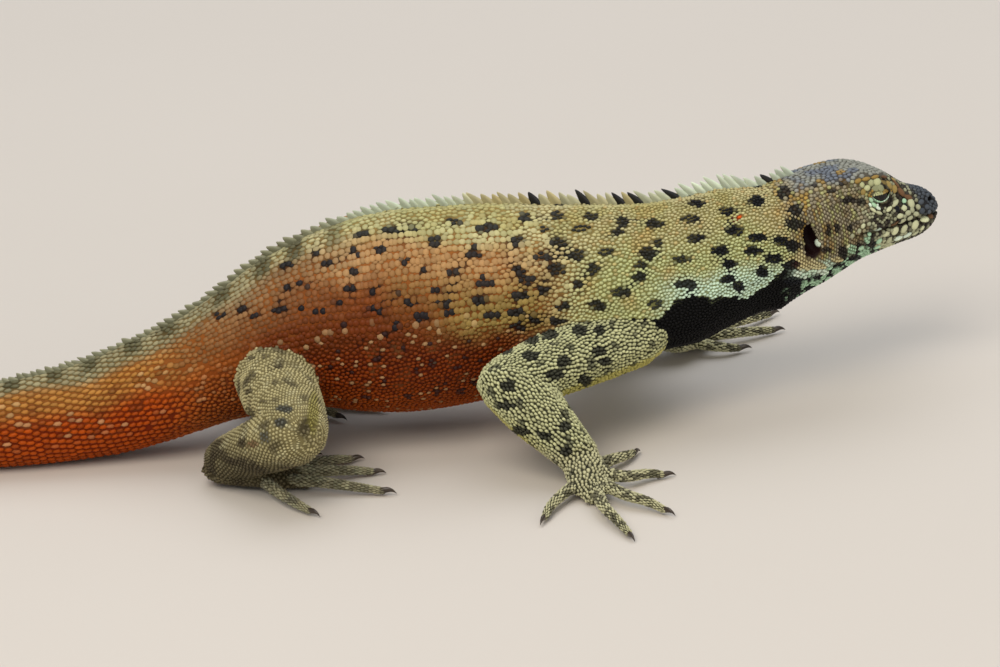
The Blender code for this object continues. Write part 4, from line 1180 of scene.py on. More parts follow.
# Head plates
# The larger horny shields of brow, lids, snout, lips and jaw, smooth and slightly domed, each set
# by where the photograph shows it: its middle, its length and width in pixels, the way that it
# points in degrees, and its colour. The left side is their mirror.
HEAD_PLATES = [
    # brow and the plates over the eye
    (862, 185, 5, 4, 30, "brow_pale"), (867, 188, 6, 4, 20, "brow_pale"),
    (863, 192, 5, 4, 60, "brow_gold"), (871, 183, 6, 5, 10, "brow_pale"),
    (877, 182, 7, 6, 0, "brow_pale"), (875, 188, 7, 5, -10, "brow_pale"),
    (881, 188, 5, 5, 0, "brow_pale"), (884, 182, 6, 5, -20, "brow_gold"),
    (889, 185, 6, 5, -30, "brow_gold"), (887, 190, 6, 4, -20, "brow_gold"),
    (894, 189, 6, 5, -40, "brow_gold"), (893, 180, 5, 3, -30, "brow_gold"),
    (901, 192, 8, 3.4, -42, "rosy"), (908, 197, 8, 3, -25, "rosy"), (896, 184, 7, 2.6, -45, "rosy"),
    (858, 181, 6, 3, 20, "temple_gold"), (866, 179, 8, 2.6, 15, "temple_gold"),
    (875, 177, 8, 2.4, 8, "temple_gold"), (884, 177, 8, 2.4, -8, "rosy"),
    # lower lid
    (871, 200, 5, 3, -50, "jaw_mint"), (874, 205, 5, 3, -40, "jaw_mint"),
    (878, 208, 5, 2.6, -20, "white_mint"), (870, 205, 4, 2.4, -60, "white_mint"),
    (873, 210, 6, 2.4, -30, "jaw_pale"), (879, 213, 7, 2.4, -15, "jaw_pale"),
    # between eye and nostril
    (895, 203, 8, 3.4, 50, "jaw_pale"), (889, 209, 6, 3, 45, "jaw_pale"),
    (904, 201, 4, 3.4, 20, "jaw_mint"), (911, 203, 6, 6, 0, "jaw_pale"),
    (904, 208, 5, 4, 30, "jaw_pale"), (912, 210, 4, 3.2, 20, "cheek"),
    (918, 207, 4, 3.2, 0, "cheek"), (900, 216, 7, 3, 18, "jaw_pale"),
    (908, 213, 5, 3, 25, "cheek"), (916, 214, 5, 3, 10, "cheek"),
    (897, 209, 5, 4, 60, "blue_black"), (905, 205, 2.6, 2.6, 0, "blue_black"),
    (922, 211, 5, 3.4, 10, "snout"), (927, 207, 4.4, 3.4, 30, "snout"),
    (921, 202, 5, 3.6, 30, "snout"),
    # upper lip, from the snout back
    (930, 216, 5, 4.4, 60, "rosy"), (924, 219, 7, 6, 40, "jaw_pale"),
    (915, 225, 7, 5.4, 35, "jaw_pale"), (904, 229, 6.4, 5.4, 50, "jaw_pale"),
    (895, 231, 6.4, 5, 40, "jaw_pale"), (886, 234, 8, 4.2, 25, "jaw_pale"),
    (877, 229, 9, 3.4, 8, "white_mint"), (893, 224, 8, 3.2, 25, "rosy"),
    (902, 221, 6, 3, 25, "cheek"), (910, 218, 5, 3, 30, "cheek"),
    (863, 226, 5, 3.6, 50, "jaw_pale"), (859, 231, 4.4, 3.4, 60, "cheek"),
    (852, 236, 4, 3.4, 60, "cheek"), (869, 224, 4.4, 3, 30, "cheek"),
    # lower lip and jaw
    (922, 228, 4, 3.4, 30, "jaw_pale"), (915, 233, 6, 3.4, 30, "jaw_pale"),
    (907, 235, 7, 3.6, 25, "white_mint"), (898, 238, 8, 3.6, 15, "white_mint"),
    (889, 240, 6, 4, 60, "jaw_pale"), (901, 243, 8, 3.4, 25, "white_mint"),
    (893, 246, 7, 3.2, 25, "jaw_pale"), (879, 241, 6, 5, 70, "jaw_mint"),
    (877, 247, 7, 4.4, 15, "jaw_mint"), (874, 252, 6, 3.6, 15, "white_mint"),
    (886, 248, 5, 3, 30, "jaw_pale"), (864, 257, 5, 3, 20, "jaw_pale"),
    (861, 248, 7, 4, 10, "jaw_mint"), (860, 253, 6, 3, 15, "jaw_mint"),
    (869, 234, 4, 3, 60, "jaw_mint"), (848, 246, 4, 3, 50, "jaw_pale"),
    (853, 262, 6, 3, 25, "jaw_pale"), (845, 268, 6, 3, 25, "jaw_mint"),
    (837, 274, 6, 3.2, 25, "white_mint"), (830, 268, 5, 3, 30, "jaw_mint"),
    (819, 271, 5, 3.4, 40, "white_mint"), (823, 278, 5, 3, 30, "jaw_mint"),
    (811, 282, 5, 3.4, 40, "jaw_mint"), (805, 277, 4, 3, 60, "white_mint"),
    # ear
    (818, 243, 6, 6.4, 90, "white_mint"),
]
photo_eye = Vector(lens_point)


def sight_line(across, down):
    """The direction in which the photograph sees a pixel."""
    reach = CAMERA_REACH * PIXELS_PER_MM
    line = (ahead * reach + photo_right * (across - PHOTO_MIDDLE[0])
            + photo_up * (PHOTO_MIDDLE[1] - down))
    return line / np.linalg.norm(line)


def seen_at(across, down):
    """The place of the skin that the photograph shows at a pixel, and its normal."""
    hit = skin_shell.ray_cast(photo_eye, Vector(sight_line(across, down)))
    return hit[0], hit[1]


def mirror_head(vector, is_place):
    """The same place or direction on the head's other side."""
    turned = head_matrix[:3, :3]
    moved = np.array(vector) - (head_matrix[:3, 3] if is_place else 0.0)
    flipped = (moved @ turned) * (1, -1, 1)
    return Vector(flipped @ turned.T + (head_matrix[:3, 3] if is_place else 0.0))


PLATE_HEIGHT = 0.32
PLATE_HOLD = 0.32
SIGHT_STEP = 1.5
PLATE_GROWTH = (1.4, 1.55)
FACE_GROWTH = 1.2
EYE_FRONT_PX = 888
for across, down, long, wide, turn, colour in HEAD_PLATES:
    place, normal = seen_at(across, down)
    step = (math.cos(math.radians(turn)), -math.sin(math.radians(turn)))
    ahead_place, _ = seen_at(across + SIGHT_STEP * step[0], down + SIGHT_STEP * step[1])
    behind_place, _ = seen_at(across - SIGHT_STEP * step[0], down - SIGHT_STEP * step[1])
    if place is None or ahead_place is None or behind_place is None:
        continue
    lie = behind_place - ahead_place
    grow = (FACE_GROWTH if across > EYE_FRONT_PX else 1.0) / PIXELS_PER_MM
    size = (PLATE_GROWTH[0] * long * grow, PLATE_GROWTH[1] * wide * grow, PLATE_HEIGHT)
    for mirror in (False, True):
        spot, up, way = place, normal, lie
        if mirror:
            spot, up, way = (mirror_head(v, n == 0) for n, v in enumerate((place, normal, lie)))
        take(spot, up, way, size, "boss", ["head"], PALETTE[colour])
        side_way = up.cross(way).normalized() * (PLATE_HOLD * size[1])
        end_way = way.normalized() * (PLATE_HOLD * size[0])
        for offset in (side_way, -side_way, end_way, -end_way):
            hold(spot + offset)

# Lids
# A heavy upper lid and a lower one lie on each eyeball and leave a narrow wedge open. They are
# thin folds of the hide under rows of small beads, pale green on the lower lid.
LID_WIDTH = 2.2
LID_REACH_SQUARED = 5.3
LID_MOST_RISE = 1.7
LID_LIFT = 0.13
LID_ROOT_DEPTH = 0.25


def upper_edge(out):
    """How far above the eye's centre the upper lid ends, by how far forward."""
    return 0.46 + 0.05 * out


def lower_edge(out):
    """How far above the eye's centre the lower lid ends: lowest in the middle, closed behind."""
    bend = 0.42 if out < 0.1 else 0.25
    return min(-0.88 + bend * (out - 0.1) ** 2, upper_edge(out) - 0.02)


def lid_place(out, across, upper, mirror, lift):
    """A place on a lid: across is 0 at its free edge and 1 under the brow or the cheek."""
    far = min(LID_MOST_RISE, math.sqrt(max(LID_REACH_SQUARED - out * out, 0.1)))
    free = upper_edge(out) if upper else lower_edge(out)
    rise = free + across * ((far if upper else -far) - free)
    radius = EYE_RADIUS + lift
    depth = math.sqrt(max(radius**2 - out**2 - rise**2, 0.05))
    local = np.array([out, mirror * depth, rise])
    centre = EYE_CENTRE * (1, mirror, 1)
    return Vector(from_head(centre + local)), Vector(head_matrix[:3, :3] @ local).normalized()


LID_TINTS = {True: ("brow_gold", "temple_gold"), False: ("jaw_mint", "white_mint")}
LID_BEAD_ROWS = {True: (0.1, 0.36, 0.62, 0.88), False: (0.12, 0.5, 0.88)}
LID_BEAD_STEP = 0.34
LID_BEAD = (0.46, 0.46, 0.15)
# The lids' hide is the beads' tint darkened: painted shade in the gaps between the beads.
LID_SHADE = 0.55
lid_draw = random.Random(21)
for side, mirror in (("R", -1), ("L", 1)):
    lid_bm = bmesh.new()
    lid_marking = lid_bm.verts.layers.float_color.new("marking")
    for upper in (True, False):
        bmesh.ops.create_grid(lid_bm, x_segments=24, y_segments=6, size=1.0)
        sheet = [vert for vert in lid_bm.verts if not vert.tag]
        outer = {vert: (vert.co.x * LID_WIDTH, (vert.co.y + 1) / 2) for vert in sheet}
        grown = bmesh.ops.extrude_face_region(
            lid_bm, geom=[face for face in lid_bm.faces if not face.tag])["geom"]
        for vert in grown:
            if isinstance(vert, bmesh.types.BMVert):
                out, across = vert.co.x * LID_WIDTH, (vert.co.y + 1) / 2
                vert.co = lid_place(out, across, upper, mirror, LID_LIFT)[0]
        for vert, (out, across) in outer.items():
            vert.co = lid_place(out, across, upper, mirror, -LID_ROOT_DEPTH)[0]
        tints = LID_TINTS[upper]
        for vert in lid_bm.verts:
            if not vert.tag:
                vert[lid_marking] = (*(PALETTE[tints[0]] * LID_SHADE), 1.0)
        for item in lid_bm.verts[:] + lid_bm.faces[:]:
            item.tag = True
        for across in LID_BEAD_ROWS[upper]:
            for out in np.arange(-1.9, 2.0, LID_BEAD_STEP):
                slip = lid_draw.uniform(-0.06, 0.06)
                place, normal = lid_place(out + slip, across, upper, mirror, LID_LIFT - 0.02)
                tint = tints[0] if lid_draw.random() < 0.6 else tints[1]
                if upper and out < 0.3:
                    tint = "brow_pale"
                lie = Vector(head_matrix[:3, 0])
                take(place, normal, lie, LID_BEAD, "boss", ["head"], PALETTE[tint])
    bmesh.ops.recalc_face_normals(lid_bm, faces=lid_bm.faces)
    lid_mesh = bpy.data.meshes.new(f"lids_{side}")
    lid_bm.to_mesh(lid_mesh)
    lid_bm.free()
    write_points(lid_mesh, to_shared(read_points(lid_mesh)))
    lid_mesh.materials.append(hide)
    lid_mesh.shade_smooth()
    lids = add_object(f"lids_{side}", lid_mesh)
    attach(lids, "root")

# Two rows of small beads stand round each eye's opening, pale green below and behind.
LID_BEADS = 24
LID_ROWS = ((1.95, 1.12, 0.42), (2.45, 1.55, 0.52))
for half_long, half_tall, bead in LID_ROWS:
    for k in range(LID_BEADS):
        turn = 2 * math.pi * (k + (0.5 if half_tall > 1.2 else 0)) / LID_BEADS
        out, rise = half_long * math.cos(turn), half_tall * math.sin(turn)
        tint = "temple_gold"
        if rise < 0.2 and out < 1.0:
            tint = "jaw_mint" if half_tall < 1.2 else "white_mint"
        if rise < 0 and out >= 1.0:
            tint = "cheek"
        # The inner row's beads above the opening, under the brow, are near black as painted shadow
        # of the brow.
        if rise > 0.5 and half_tall < 1.2:
            tint = "face_dark"
        for mirror in (-1, 1):
            aim = from_head(EYE_CENTRE * (1, mirror, 1) + (out, 8.0 * mirror, rise + 0.1))
            inwards = Vector(head_matrix[:3, 1] * -mirror)
            place, normal, _, _ = skin_shell.ray_cast(Vector(aim), inwards)
            if place is None or normal.dot(inwards) > -0.2 or not is_free(place, 0.3):
                continue
            lie = Vector(head_matrix[:3, 0] * out + head_matrix[:3, 2] * rise)
            take(place, normal, lie, (bead, bead * 1.15, 0.24), "boss", ["head"], PALETTE[tint])

# Temple
# Small upright grains in columns cover the side of the head, from the nape to behind the eye, and
# leave the ear bare.
TEMPLE_BEHIND = 11.0
TEMPLE_HEIGHTS = (26.5, 36.5)
TEMPLE_SIDE = 3
TEMPLE_PITCH = 0.5
TEMPLE_ROWS = 76
TEMPLE_SCALE = (1.15, 0.98, 0.28)
EAR_MARGIN = 0.1


def on_temple(place):
    """Whether a place of the skin is on the side of the head behind the eye, off the ear."""
    spot = to_head(np.array(place))
    x, y, z = spot
    return (x < TEMPLE_BEHIND - 0.35 * (z - 30) and TEMPLE_HEIGHTS[0] < z < TEMPLE_HEIGHTS[1]
            and abs(y) > TEMPLE_SIDE and ear_gap(spot, EAR_MARGIN) > 1)


head_axis = from_head([(x, 0.0, 31.0) for x in np.arange(-4.0, 13.0, 1.0)])
lay_rows(HEAD_NODES, head_axis, lambda x: TEMPLE_PITCH, lambda x: TEMPLE_ROWS, TEMPLE_SCALE,
         "grain", TRUNK_REACH, on_temple)

# Scattered scales
# Between the rows, and on neck, belly, arms, hands, feet and crown, small scales stand in no
# order. They are scattered evenly and then settle against each other, and each grows to its gap.
SCATTER_TRIES = 13
ROWED_SKIPPED = 0.45
SETTLE_ROUNDS = 5
SPACING_AT = (-152, 0, 80, 95, 112, 133)
TRUNK_SPACING = (1.0, 1.15, 1.02, 0.82, 0.66, 0.6)
SPACING = {"limb": 0.72, "digit": 0.5, "head": 0.66}
CROWN_SPACING = 0.88
SNOUT_SPACING = 0.74
draw = np.random.default_rng(6)
corners = np.array([list(p.vertices)[:3] for p in skin_mesh.polygons])
quads = [list(p.vertices) for p in skin_mesh.polygons if len(p.vertices) == 4]
if quads:
    quads = np.array(quads)
    corners = np.concatenate([corners, quads[:, [0, 2, 3]]])
a, b, c = points[corners[:, 0]], points[corners[:, 1]], points[corners[:, 2]]
areas = 0.5 * np.linalg.norm(np.cross(b - a, c - a), axis=1)
middles = (a + b + c) / 3
corner_part = parts[corners[:, 0]]
corner_kind = kinds[corner_part]
spacing = np.interp(middles[:, 0], SPACING_AT, TRUNK_SPACING)
for kind, value in SPACING.items():
    spacing[corner_kind == kind] = value
local = to_head(middles)
on_head = corner_kind == "head"
spacing[on_head & (local[:, 2] - 0.4 * abs(local[:, 1]) > 36.0)] = CROWN_SPACING
spacing[on_head & (local[:, 0] > 20)] = SNOUT_SPACING
on_trunk = corner_kind == "trunk"
side_away = np.degrees(abs(body_place(middles)[0]))
lower = ramp(side_away, 72, 92) * ramp(middles[:, 0], 20, 34) * (1 - ramp(middles[:, 0], 96, 108))
spacing[on_trunk] *= 1 - 0.22 * lower[on_trunk]
rowed = np.where(middles[:, 0] > BACK_FROM, row_share(middles), 0.0)
before_rings = ramp(middles[:, 0], BACK_FROM - ROWS_MEET, BACK_FROM + ROWS_MEET)
rowed = np.maximum(rowed, 1 - before_rings) * on_trunk
eye_gap = (((local[:, 0] - EYE_CENTRE[0]) / 2.0) ** 2
           + ((local[:, 2] - EYE_CENTRE[2] - 0.15) / 1.2) ** 2)
nostril_gap = (((local[:, 0] - NOSTRIL[0]) / NOSTRIL_OPEN[0]) ** 2
               + ((local[:, 2] - NOSTRIL[2]) / NOSTRIL_OPEN[1]) ** 2)
lip_gap = abs(local[:, 2] - (MOUTH_CORNER[1] + (local[:, 0] - MOUTH_CORNER[0]) * mouth_slope))
barred = on_head & (abs(local[:, 1]) > 2.0) & ((eye_gap < 1) | (ear_gap(local, EAR_MARGIN) < 1))
barred |= on_head & (abs(local[:, 1]) > 1.2) & (nostril_gap < 1)
barred |= on_head & (lip_gap < MOUTH_HALF) & (local[:, 0] > MOUTH_CORNER[0])
rowed[corner_kind == "digit"] = 1.0
weights = areas / spacing**2 * (1 - ROWED_SKIPPED * rowed) * ~barred
tries = int(SCATTER_TRIES * weights.sum() / 0.87)
chosen_corners = draw.choice(len(corners), tries, p=weights / weights.sum())
mix = draw.random((tries, 2))
mix[mix.sum(1) > 1] = 1 - mix[mix.sum(1) > 1]
seeds = (a[chosen_corners] + (b - a)[chosen_corners] * mix[:, :1]
         + (c - a)[chosen_corners] * mix[:, 1:])
head_back = Vector(-head_matrix[:3, 0])
HEIGHTS = {"trunk": 0.24, "head": 0.24, "limb": 0.28, "digit": 0.18}
first_free = len(sites)
free_spacing = []
for seed, corner in zip(seeds.tolist(), chosen_corners.tolist()):
    gap = spacing[corner]
    if not is_free(seed, 0.78 * gap):
        continue
    name = FLESH[corner_part[corner]]
    kind = node_kind(name)
    lie = Vector((-1.0, 0.0, -0.15))
    form = "keeled"
    if kind == "head":
        lie, form = head_back, "plate"
    if kind in ("limb", "digit"):
        lie = Vector(lines[name][-1] - lines[name][0])
        form = "pointed" if "arm" in name or "hand" in name else "grain"
    free_spacing.append(gap)
    take(Vector(seed), None, lie, (gap, gap, HEIGHTS[kind]), form, [name])


def tree_of_sites():
    """All the scales' places, to look up those nearest to one."""
    tree = KDTree(len(sites))
    for index, site in enumerate(sites):
        tree.insert(site[0], index)
    tree.balance()
    return tree


for _ in range(SETTLE_ROUNDS):
    tree = tree_of_sites()
    moved = []
    for site, gap in zip(sites[first_free:], free_spacing):
        place = site[0]
        push = Vector((0, 0, 0))
        for other, _, distance in tree.find_n(place, 8):
            if 1e-6 < distance < gap:
                push += (place - other) * (0.35 * (gap - distance) / distance)
        if push.length > 0.3 * gap:
            push.length = 0.3 * gap
        moved.append(place + push)
    for index, place in enumerate(moved):
        found, normal, _, _ = skin_shell.find_nearest(place)
        sites[first_free + index] = (found, normal, *sites[first_free + index][2:])
tree = tree_of_sites()
for index in range(first_free, len(sites)):
    place, normal, lie, size, form, part, colour = sites[index]
    near = sorted(distance for _, _, distance in tree.find_n(place, 6))[1:]
    gap = min(max(sum(near) / len(near), 0.6 * size[0]), 1.3 * size[0])
    sites[index] = (place, normal, lie, (gap * 1.12, gap * 0.98, size[2]), form, part, colour)

# Joined coat
# The scales of each part of the body are joined into pieces small enough to be handed on whole.
# Each scale has one colour of its own, painted darker at its root as shade and lighter on its crown
# as highlight, and a small patch of the part's flat map at its root.
MOST_SCALES = 6400
BAKE_PATCH = 0.003
COAT_LOWEST = 0.02
SHADE_SPREAD = (0.82, 1.16)
SIZE_SPREAD = (0.9, 1.1)
SWING = 0.1
GROUPS = {"torso": ["torso"], "neck": ["neck"], "tail": TAIL_NODES, "head": HEAD_NODES}
for (limb, side), names in limbs.items():
    GROUPS[f"{limb}_{side}"] = names
GROUP_OF = {name: group for group, names in GROUPS.items() for name in names}

# Horny scales: dry, with a faint sheen on each keel.
horn = marked_material("lizard_scales", "#b9ae72", 0.46, 0.14)


def unwrap(place, name):
    """A place on the flat unwrap of its part: how far along it, and how far round it."""
    if name in TRUNK_NODES:
        line = trunk_line
        start = samples[name][:, 0].min()
        run = (place[0] - start) / np.ptp(samples[name][:, 0])
        middle = [np.interp(place[0], line[:, 0], line[:, axis]) for axis in (1, 2)]
        return run, math.atan2(place[1] - middle[0], place[2] - middle[1])
    if name in HEAD_NODES:
        spot = to_head(np.array(place))
        return (spot[0] + 4) / 36, math.atan2(spot[1], spot[2] - 31)
    line = lines[name]
    along = line[-1] - line[0]
    length = np.linalg.norm(along)
    along = along / length
    offset = np.array(place) - line[0]
    side = np.cross(along, (0, 0, 1.0))
    return (offset @ along) / length, math.atan2(offset @ side, offset @ np.cross(side, along))


def joined_scales(label, chosen):
    """One mesh of many scales, coloured one by one and mapped by where each is rooted."""
    places = np.array([site[0] for site in chosen])
    part_index = nearest_parts(places)
    colours = np.array([site[6] if site[6] is not None else (-1, -1, -1) for site in chosen])
    found = markings(places, part_index)
    colours = np.where(colours[:, :1] < 0, found, colours)
    draw = np.random.default_rng(len(chosen))
    colours = colours * draw.uniform(*SHADE_SPREAD, (len(chosen), 1))
    grown = draw.uniform(*SIZE_SPREAD, (len(chosen), 3))
    swing = draw.normal(0.0, SWING, len(chosen))
    members = sorted(set(part_index.tolist()))
    all_points, all_faces, all_colours, all_uvs = [], [], [], []
    base = 0
    for n, (site, colour, part) in enumerate(zip(chosen, colours, part_index)):
        place, normal, lie, size, form, _, _ = site
        shape, faces, painted_shading = FORMS[form]
        up = normal
        back = (lie - up * lie.dot(up))
        if back.length < 1e-3:
            back = up.orthogonal()
        back.normalize()
        back = (back + up.cross(back) * swing[n]).normalized()
        side = up.cross(back)
        basis = np.array([back, side, up])
        all_points.append((shape * size * grown[n]) @ basis + np.array(place))
        all_faces.append(faces + base)
        # Each point's colour is the scale's colour times its painted shading.
        all_colours.append(painted_shading[:, None] * colour)
        run, turn = unwrap(place, FLESH[part])
        column = (members.index(part) + min(max(run, 0.0), 1.0)) / len(members)
        root = (0.01 + 0.98 * column, 0.01 + 0.98 * (turn / (2 * math.pi) + 0.5))
        all_uvs.append(shape[:, :2] * BAKE_PATCH + root)
        base += len(shape)
    flat = np.concatenate(all_points)
    flat[:, 2] = np.maximum(flat[:, 2], COAT_LOWEST)
    faces = np.concatenate(all_faces)
    mesh = bpy.data.meshes.new(label)
    mesh.vertices.add(len(flat))
    mesh.vertices.foreach_set("co", to_shared(flat).astype(np.float32).ravel())
    mesh.loops.add(faces.size)
    mesh.loops.foreach_set("vertex_index", faces.ravel().astype(np.int32))
    mesh.polygons.add(len(faces))
    mesh.polygons.foreach_set("loop_start", np.arange(0, faces.size, 3, dtype=np.int32))
    mesh.update(calc_edges=True)
    point_colours(mesh, "marking", np.clip(np.concatenate(all_colours), 0, 1))
    layer = mesh.uv_layers.new(name="OFBake")
    uvs = np.concatenate(all_uvs)[faces.ravel()]
    layer.data.foreach_set("uv", uvs.astype(np.float32).ravel())
    mesh.shade_smooth()
    mesh.materials.append(horn)
    made = add_object(label, mesh)
    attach(made, "root")


by_group = {}
for site in sites:
    if len(site[5]) == 1:
        part = site[5][0]
    else:
        part = min(site[5], key=lambda name: (shells[name].find_nearest(site[0])[3]))
    by_group.setdefault(GROUP_OF[part], []).append(site)
for group, chosen in by_group.items():
    chosen.sort(key=lambda site: site[0].x)
    count = math.ceil(len(chosen) / MOST_SCALES)
    for k in range(count):
        some = chosen[k * len(chosen) // count : (k + 1) * len(chosen) // count]
        label = f"scales_{group}" if count == 1 else f"scales_{group}_{k + 1}"
        joined_scales(label, some)

# Crest
# One saw of soft horny spines along the ridge of the back, flattened from side to side and leaning
# to the rear, low on the tail and highest behind the head, each rooted in the skin.
CREST_FROM = -98.0
CREST_TRUNK_TO = 133.0
CREST_HEAD_TO = 3.2
CREST_HEIGHTS = {-98: 0.5, -40: 0.9, 0: 1.2, 35: 1.4, 70: 1.9, 90: 2.2, 110: 2.5, 128: 2.6,
                 138: 2.0}
CREST_LENGTHS = {-98: 1.4, 0: 1.9, 60: 2.3, 110: 2.4, 138: 2.0}
CREST_SMOOTHING = 9
CREST_ROUTE_STEP = 0.5
CREST_SPREAD = 0.72
CREST_THICK = 0.8
CREST_BLACK = ((532, 542), (578, 587), (620, 628), (633, 640), (672, 680), (747, 752), (765, 770))
CREST_LEAN = 0.8
PLAIN_SHINE = 0.5
SPINE_RINGS = 7
SPINE_SIDES = 10


def spine_form(length, thick, height, sweep):
    """A flattened flame of rings that lean towards +x, broad up to a rounded tip."""
    bm = bmesh.new()
    bmesh.ops.create_circle(bm, cap_ends=True, segments=SPINE_SIDES, radius=0.5)
    rings = [bm.verts[:]]
    lid = bm.faces[:]
    for _ in range(SPINE_RINGS):
        grown = bmesh.ops.extrude_face_region(bm, geom=lid)["geom"]
        bmesh.ops.delete(bm, geom=lid, context="FACES_ONLY")
        lid = [item for item in grown if isinstance(item, bmesh.types.BMFace)]
        rings.append([item for item in grown if isinstance(item, bmesh.types.BMVert)])
    for k, ring in enumerate(rings):
        rise = k / SPINE_RINGS
        wide = math.sqrt(1 - 0.97 * rise**2.0) * (1 - 0.42 * rise)
        for vert in ring:
            lean = sweep * height * rise**1.25
            vert.co.x = vert.co.x * length * wide + lean
            vert.co.y = vert.co.y * thick * (0.3 + 0.7 * (1 - rise)) * min(1.0, 2.4 * wide)
            vert.co.z = height * rise - 0.45 * (k == 0)
    bmesh.ops.triangulate(bm, faces=bm.faces)
    bmesh.ops.recalc_face_normals(bm, faces=bm.faces)
    bm.verts.index_update()
    return bm


def ridge_place(x):
    """The top of the skin's ridge at a station of the trunk."""
    y = float(np.interp(x, ridge_x, ridge_y))
    return skin_shell.ray_cast(Vector((x, y, OVERHEAD)), DOWN)[0]


ridge_route = [ridge_place(x) for x in np.arange(CREST_FROM, CREST_TRUNK_TO, CREST_ROUTE_STEP)]
for x in np.arange(0.0, CREST_HEAD_TO, CREST_ROUTE_STEP):
    above = Vector(from_head((x, 0.0, 60.0)))
    ridge_route.append(skin_shell.ray_cast(above, DOWN)[0])
ridge_route = np.array(ridge_route)
for axis in (1, 2):
    ridge_route[:, axis] = running_mean(ridge_route[:, axis], CREST_SMOOTHING)

crest_run = run_of(ridge_route)
crest_mesh = bpy.data.meshes.new("crest")
crest_bm = bmesh.new()
crest_tint = crest_bm.verts.layers.float_color.new("marking")
draw = random.Random(9)
at = 0.5
while at < crest_run[-1]:
    root = point_along(ridge_route, crest_run, at)
    ahead_root = point_along(ridge_route, crest_run, at + 2)
    back_root = point_along(ridge_route, crest_run, at - 2)
    length = np.interp(root[0], list(CREST_LENGTHS), list(CREST_LENGTHS.values()))
    height = np.interp(root[0], list(CREST_HEIGHTS), list(CREST_HEIGHTS.values()))
    height *= draw.uniform(0.76, 1.14)
    length *= draw.uniform(0.86, 1.12)
    rear = Vector(back_root - ahead_root).normalized()
    side = Vector((0, 0, 1)).cross(rear).normalized()
    up = rear.cross(side)
    spine = spine_form(length, CREST_THICK, height, CREST_LEAN + draw.uniform(-0.25, 0.2))
    basis = Matrix([rear, side, up]).transposed().to_4x4()
    across = photo_place(root)[0]
    black = any(low <= across <= high for low, high in CREST_BLACK)
    fore = float(ramp(across, 300, 400))
    tint = PALETTE["crest_rear"] * (1 - fore) + PALETTE["crest_pale"] * fore
    golden = float(ramp(across, 440, 500) * (1 - ramp(across, 620, 690))) * draw.uniform(0.5, 1.0)
    tint = tint + (PALETTE["crest_gold"] - tint) * golden
    if black:
        tint = PALETTE["crest_black"]
    tint = tint * draw.uniform(0.85, 1.12)
    made = {}
    for vert in spine.verts:
        rise = max(vert.co.z, 0.0) / height
        new = crest_bm.verts.new(to_shared(Vector(root) + basis @ vert.co))
        # Painted shading: darker at the root, where the spines meet the back and overlap, lighter
        # towards the tip and towards the front and rear edges.
        edge = ramp(abs(vert.co.x - CREST_LEAN * height * rise), 0.12 * length, 0.4 * length)
        painted_shading = 0.62 + 0.25 * rise + 0.35 * float(edge)
        new[crest_tint] = (*np.minimum(tint * painted_shading, 0.9), 1.0)
        made[vert.index] = new
    for face in spine.faces:
        crest_bm.faces.new([made[vert.index] for vert in face.verts])
    spine.free()
    at += length * CREST_SPREAD
crest_bm.to_mesh(crest_mesh)
crest_bm.free()
crest = add_object("crest", crest_mesh)
crest_mesh.shade_smooth()
# Soft horn: waxy, with a low sheen; the spines' dark roots and pale edges and tips are painted
# shading in their colours.
crest_horn = marked_material("crest_spine_horn", "#b9bf9c", 0.42, PLAIN_SHINE)
crest_mesh.materials.append(crest_horn)
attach(crest, "root")

# Claws
# A dark curved horny claw at the end of each digit, deeper than it is wide, set in the last scales.
# How far along each ring of a claw lies, in claw lengths, its rise and its half height
CLAW_PROFILE = ((-0.5, 0.0, 0.5), (0.0, 0.08, 0.56), (0.28, 0.2, 0.5), (0.5, 0.2, 0.4),
                (0.72, 0.06, 0.27), (0.88, -0.18, 0.15), (1.0, -0.48, 0.03))
CLAW_SIDES = 10
CLAW_NARROWING = 0.72
CLAW_LOWEST = 0.03
CLAW_STREAKS_PER_METRE = 1400.0
# Polished dark horn: almost black, glossy, with brown streaks 0.7 mm apart.
claw_horn, claw_shader = new_material("claw_horn", "#2b2320", 0.3)
claw_streak = add_node(claw_horn, "ShaderNodeTexCoord")
claw_noise = add_node(
    claw_horn, "ShaderNodeTexNoise", {"Scale": CLAW_STREAKS_PER_METRE, "Detail": 3.0},
    [("Vector", claw_streak, "Object")])
claw_tone = add_node(
    claw_horn, "ShaderNodeMix", {6: (*linear("#1b1614"), 1.0), 7: (*linear("#4a3c2c"), 1.0)},
    [(0, claw_noise, "Fac")], {"data_type": "RGBA"})
claw_horn.node_tree.links.new(claw_tone.outputs[2], claw_shader.inputs["Base Color"])
for (limb, side), names in limbs.items():
    bm = bmesh.new()
    for name in names[3:]:
        tip, heading = digit_tip(name)
        sideways = np.cross(heading, (0, 0, 1.0))
        rings = []
        for out, rise, size in CLAW_PROFILE:
            middle = tip + heading * CLAW_LENGTH * out + np.array([0, 0, rise])
            ring = []
            for k in range(CLAW_SIDES):
                turn = 2 * math.pi * k / CLAW_SIDES
                offset = (sideways * CLAW_NARROWING * math.cos(turn)
                          + np.array([0, 0, 1.0]) * math.sin(turn)) * size
                place = middle + offset
                place[2] = max(place[2], CLAW_LOWEST)
                ring.append(bm.verts.new(to_shared(place)))
            rings.append(ring)
        for lower, upper in zip(rings, rings[1:]):
            for k in range(CLAW_SIDES):
                bm.faces.new([lower[k], lower[(k + 1) % CLAW_SIDES],
                              upper[(k + 1) % CLAW_SIDES], upper[k]])
        bm.faces.new(rings[-1])
        bm.faces.new(rings[0][::-1])
    bmesh.ops.recalc_face_normals(bm, faces=bm.faces)
    mesh = bpy.data.meshes.new(f"claws_{limb}_{side}")
    bm.to_mesh(mesh)
    bm.free()
    claws = add_object(f"claws_{limb}_{side}", mesh)
    mesh.shade_smooth()
    mesh.materials.append(claw_horn)
    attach(claws, "root")

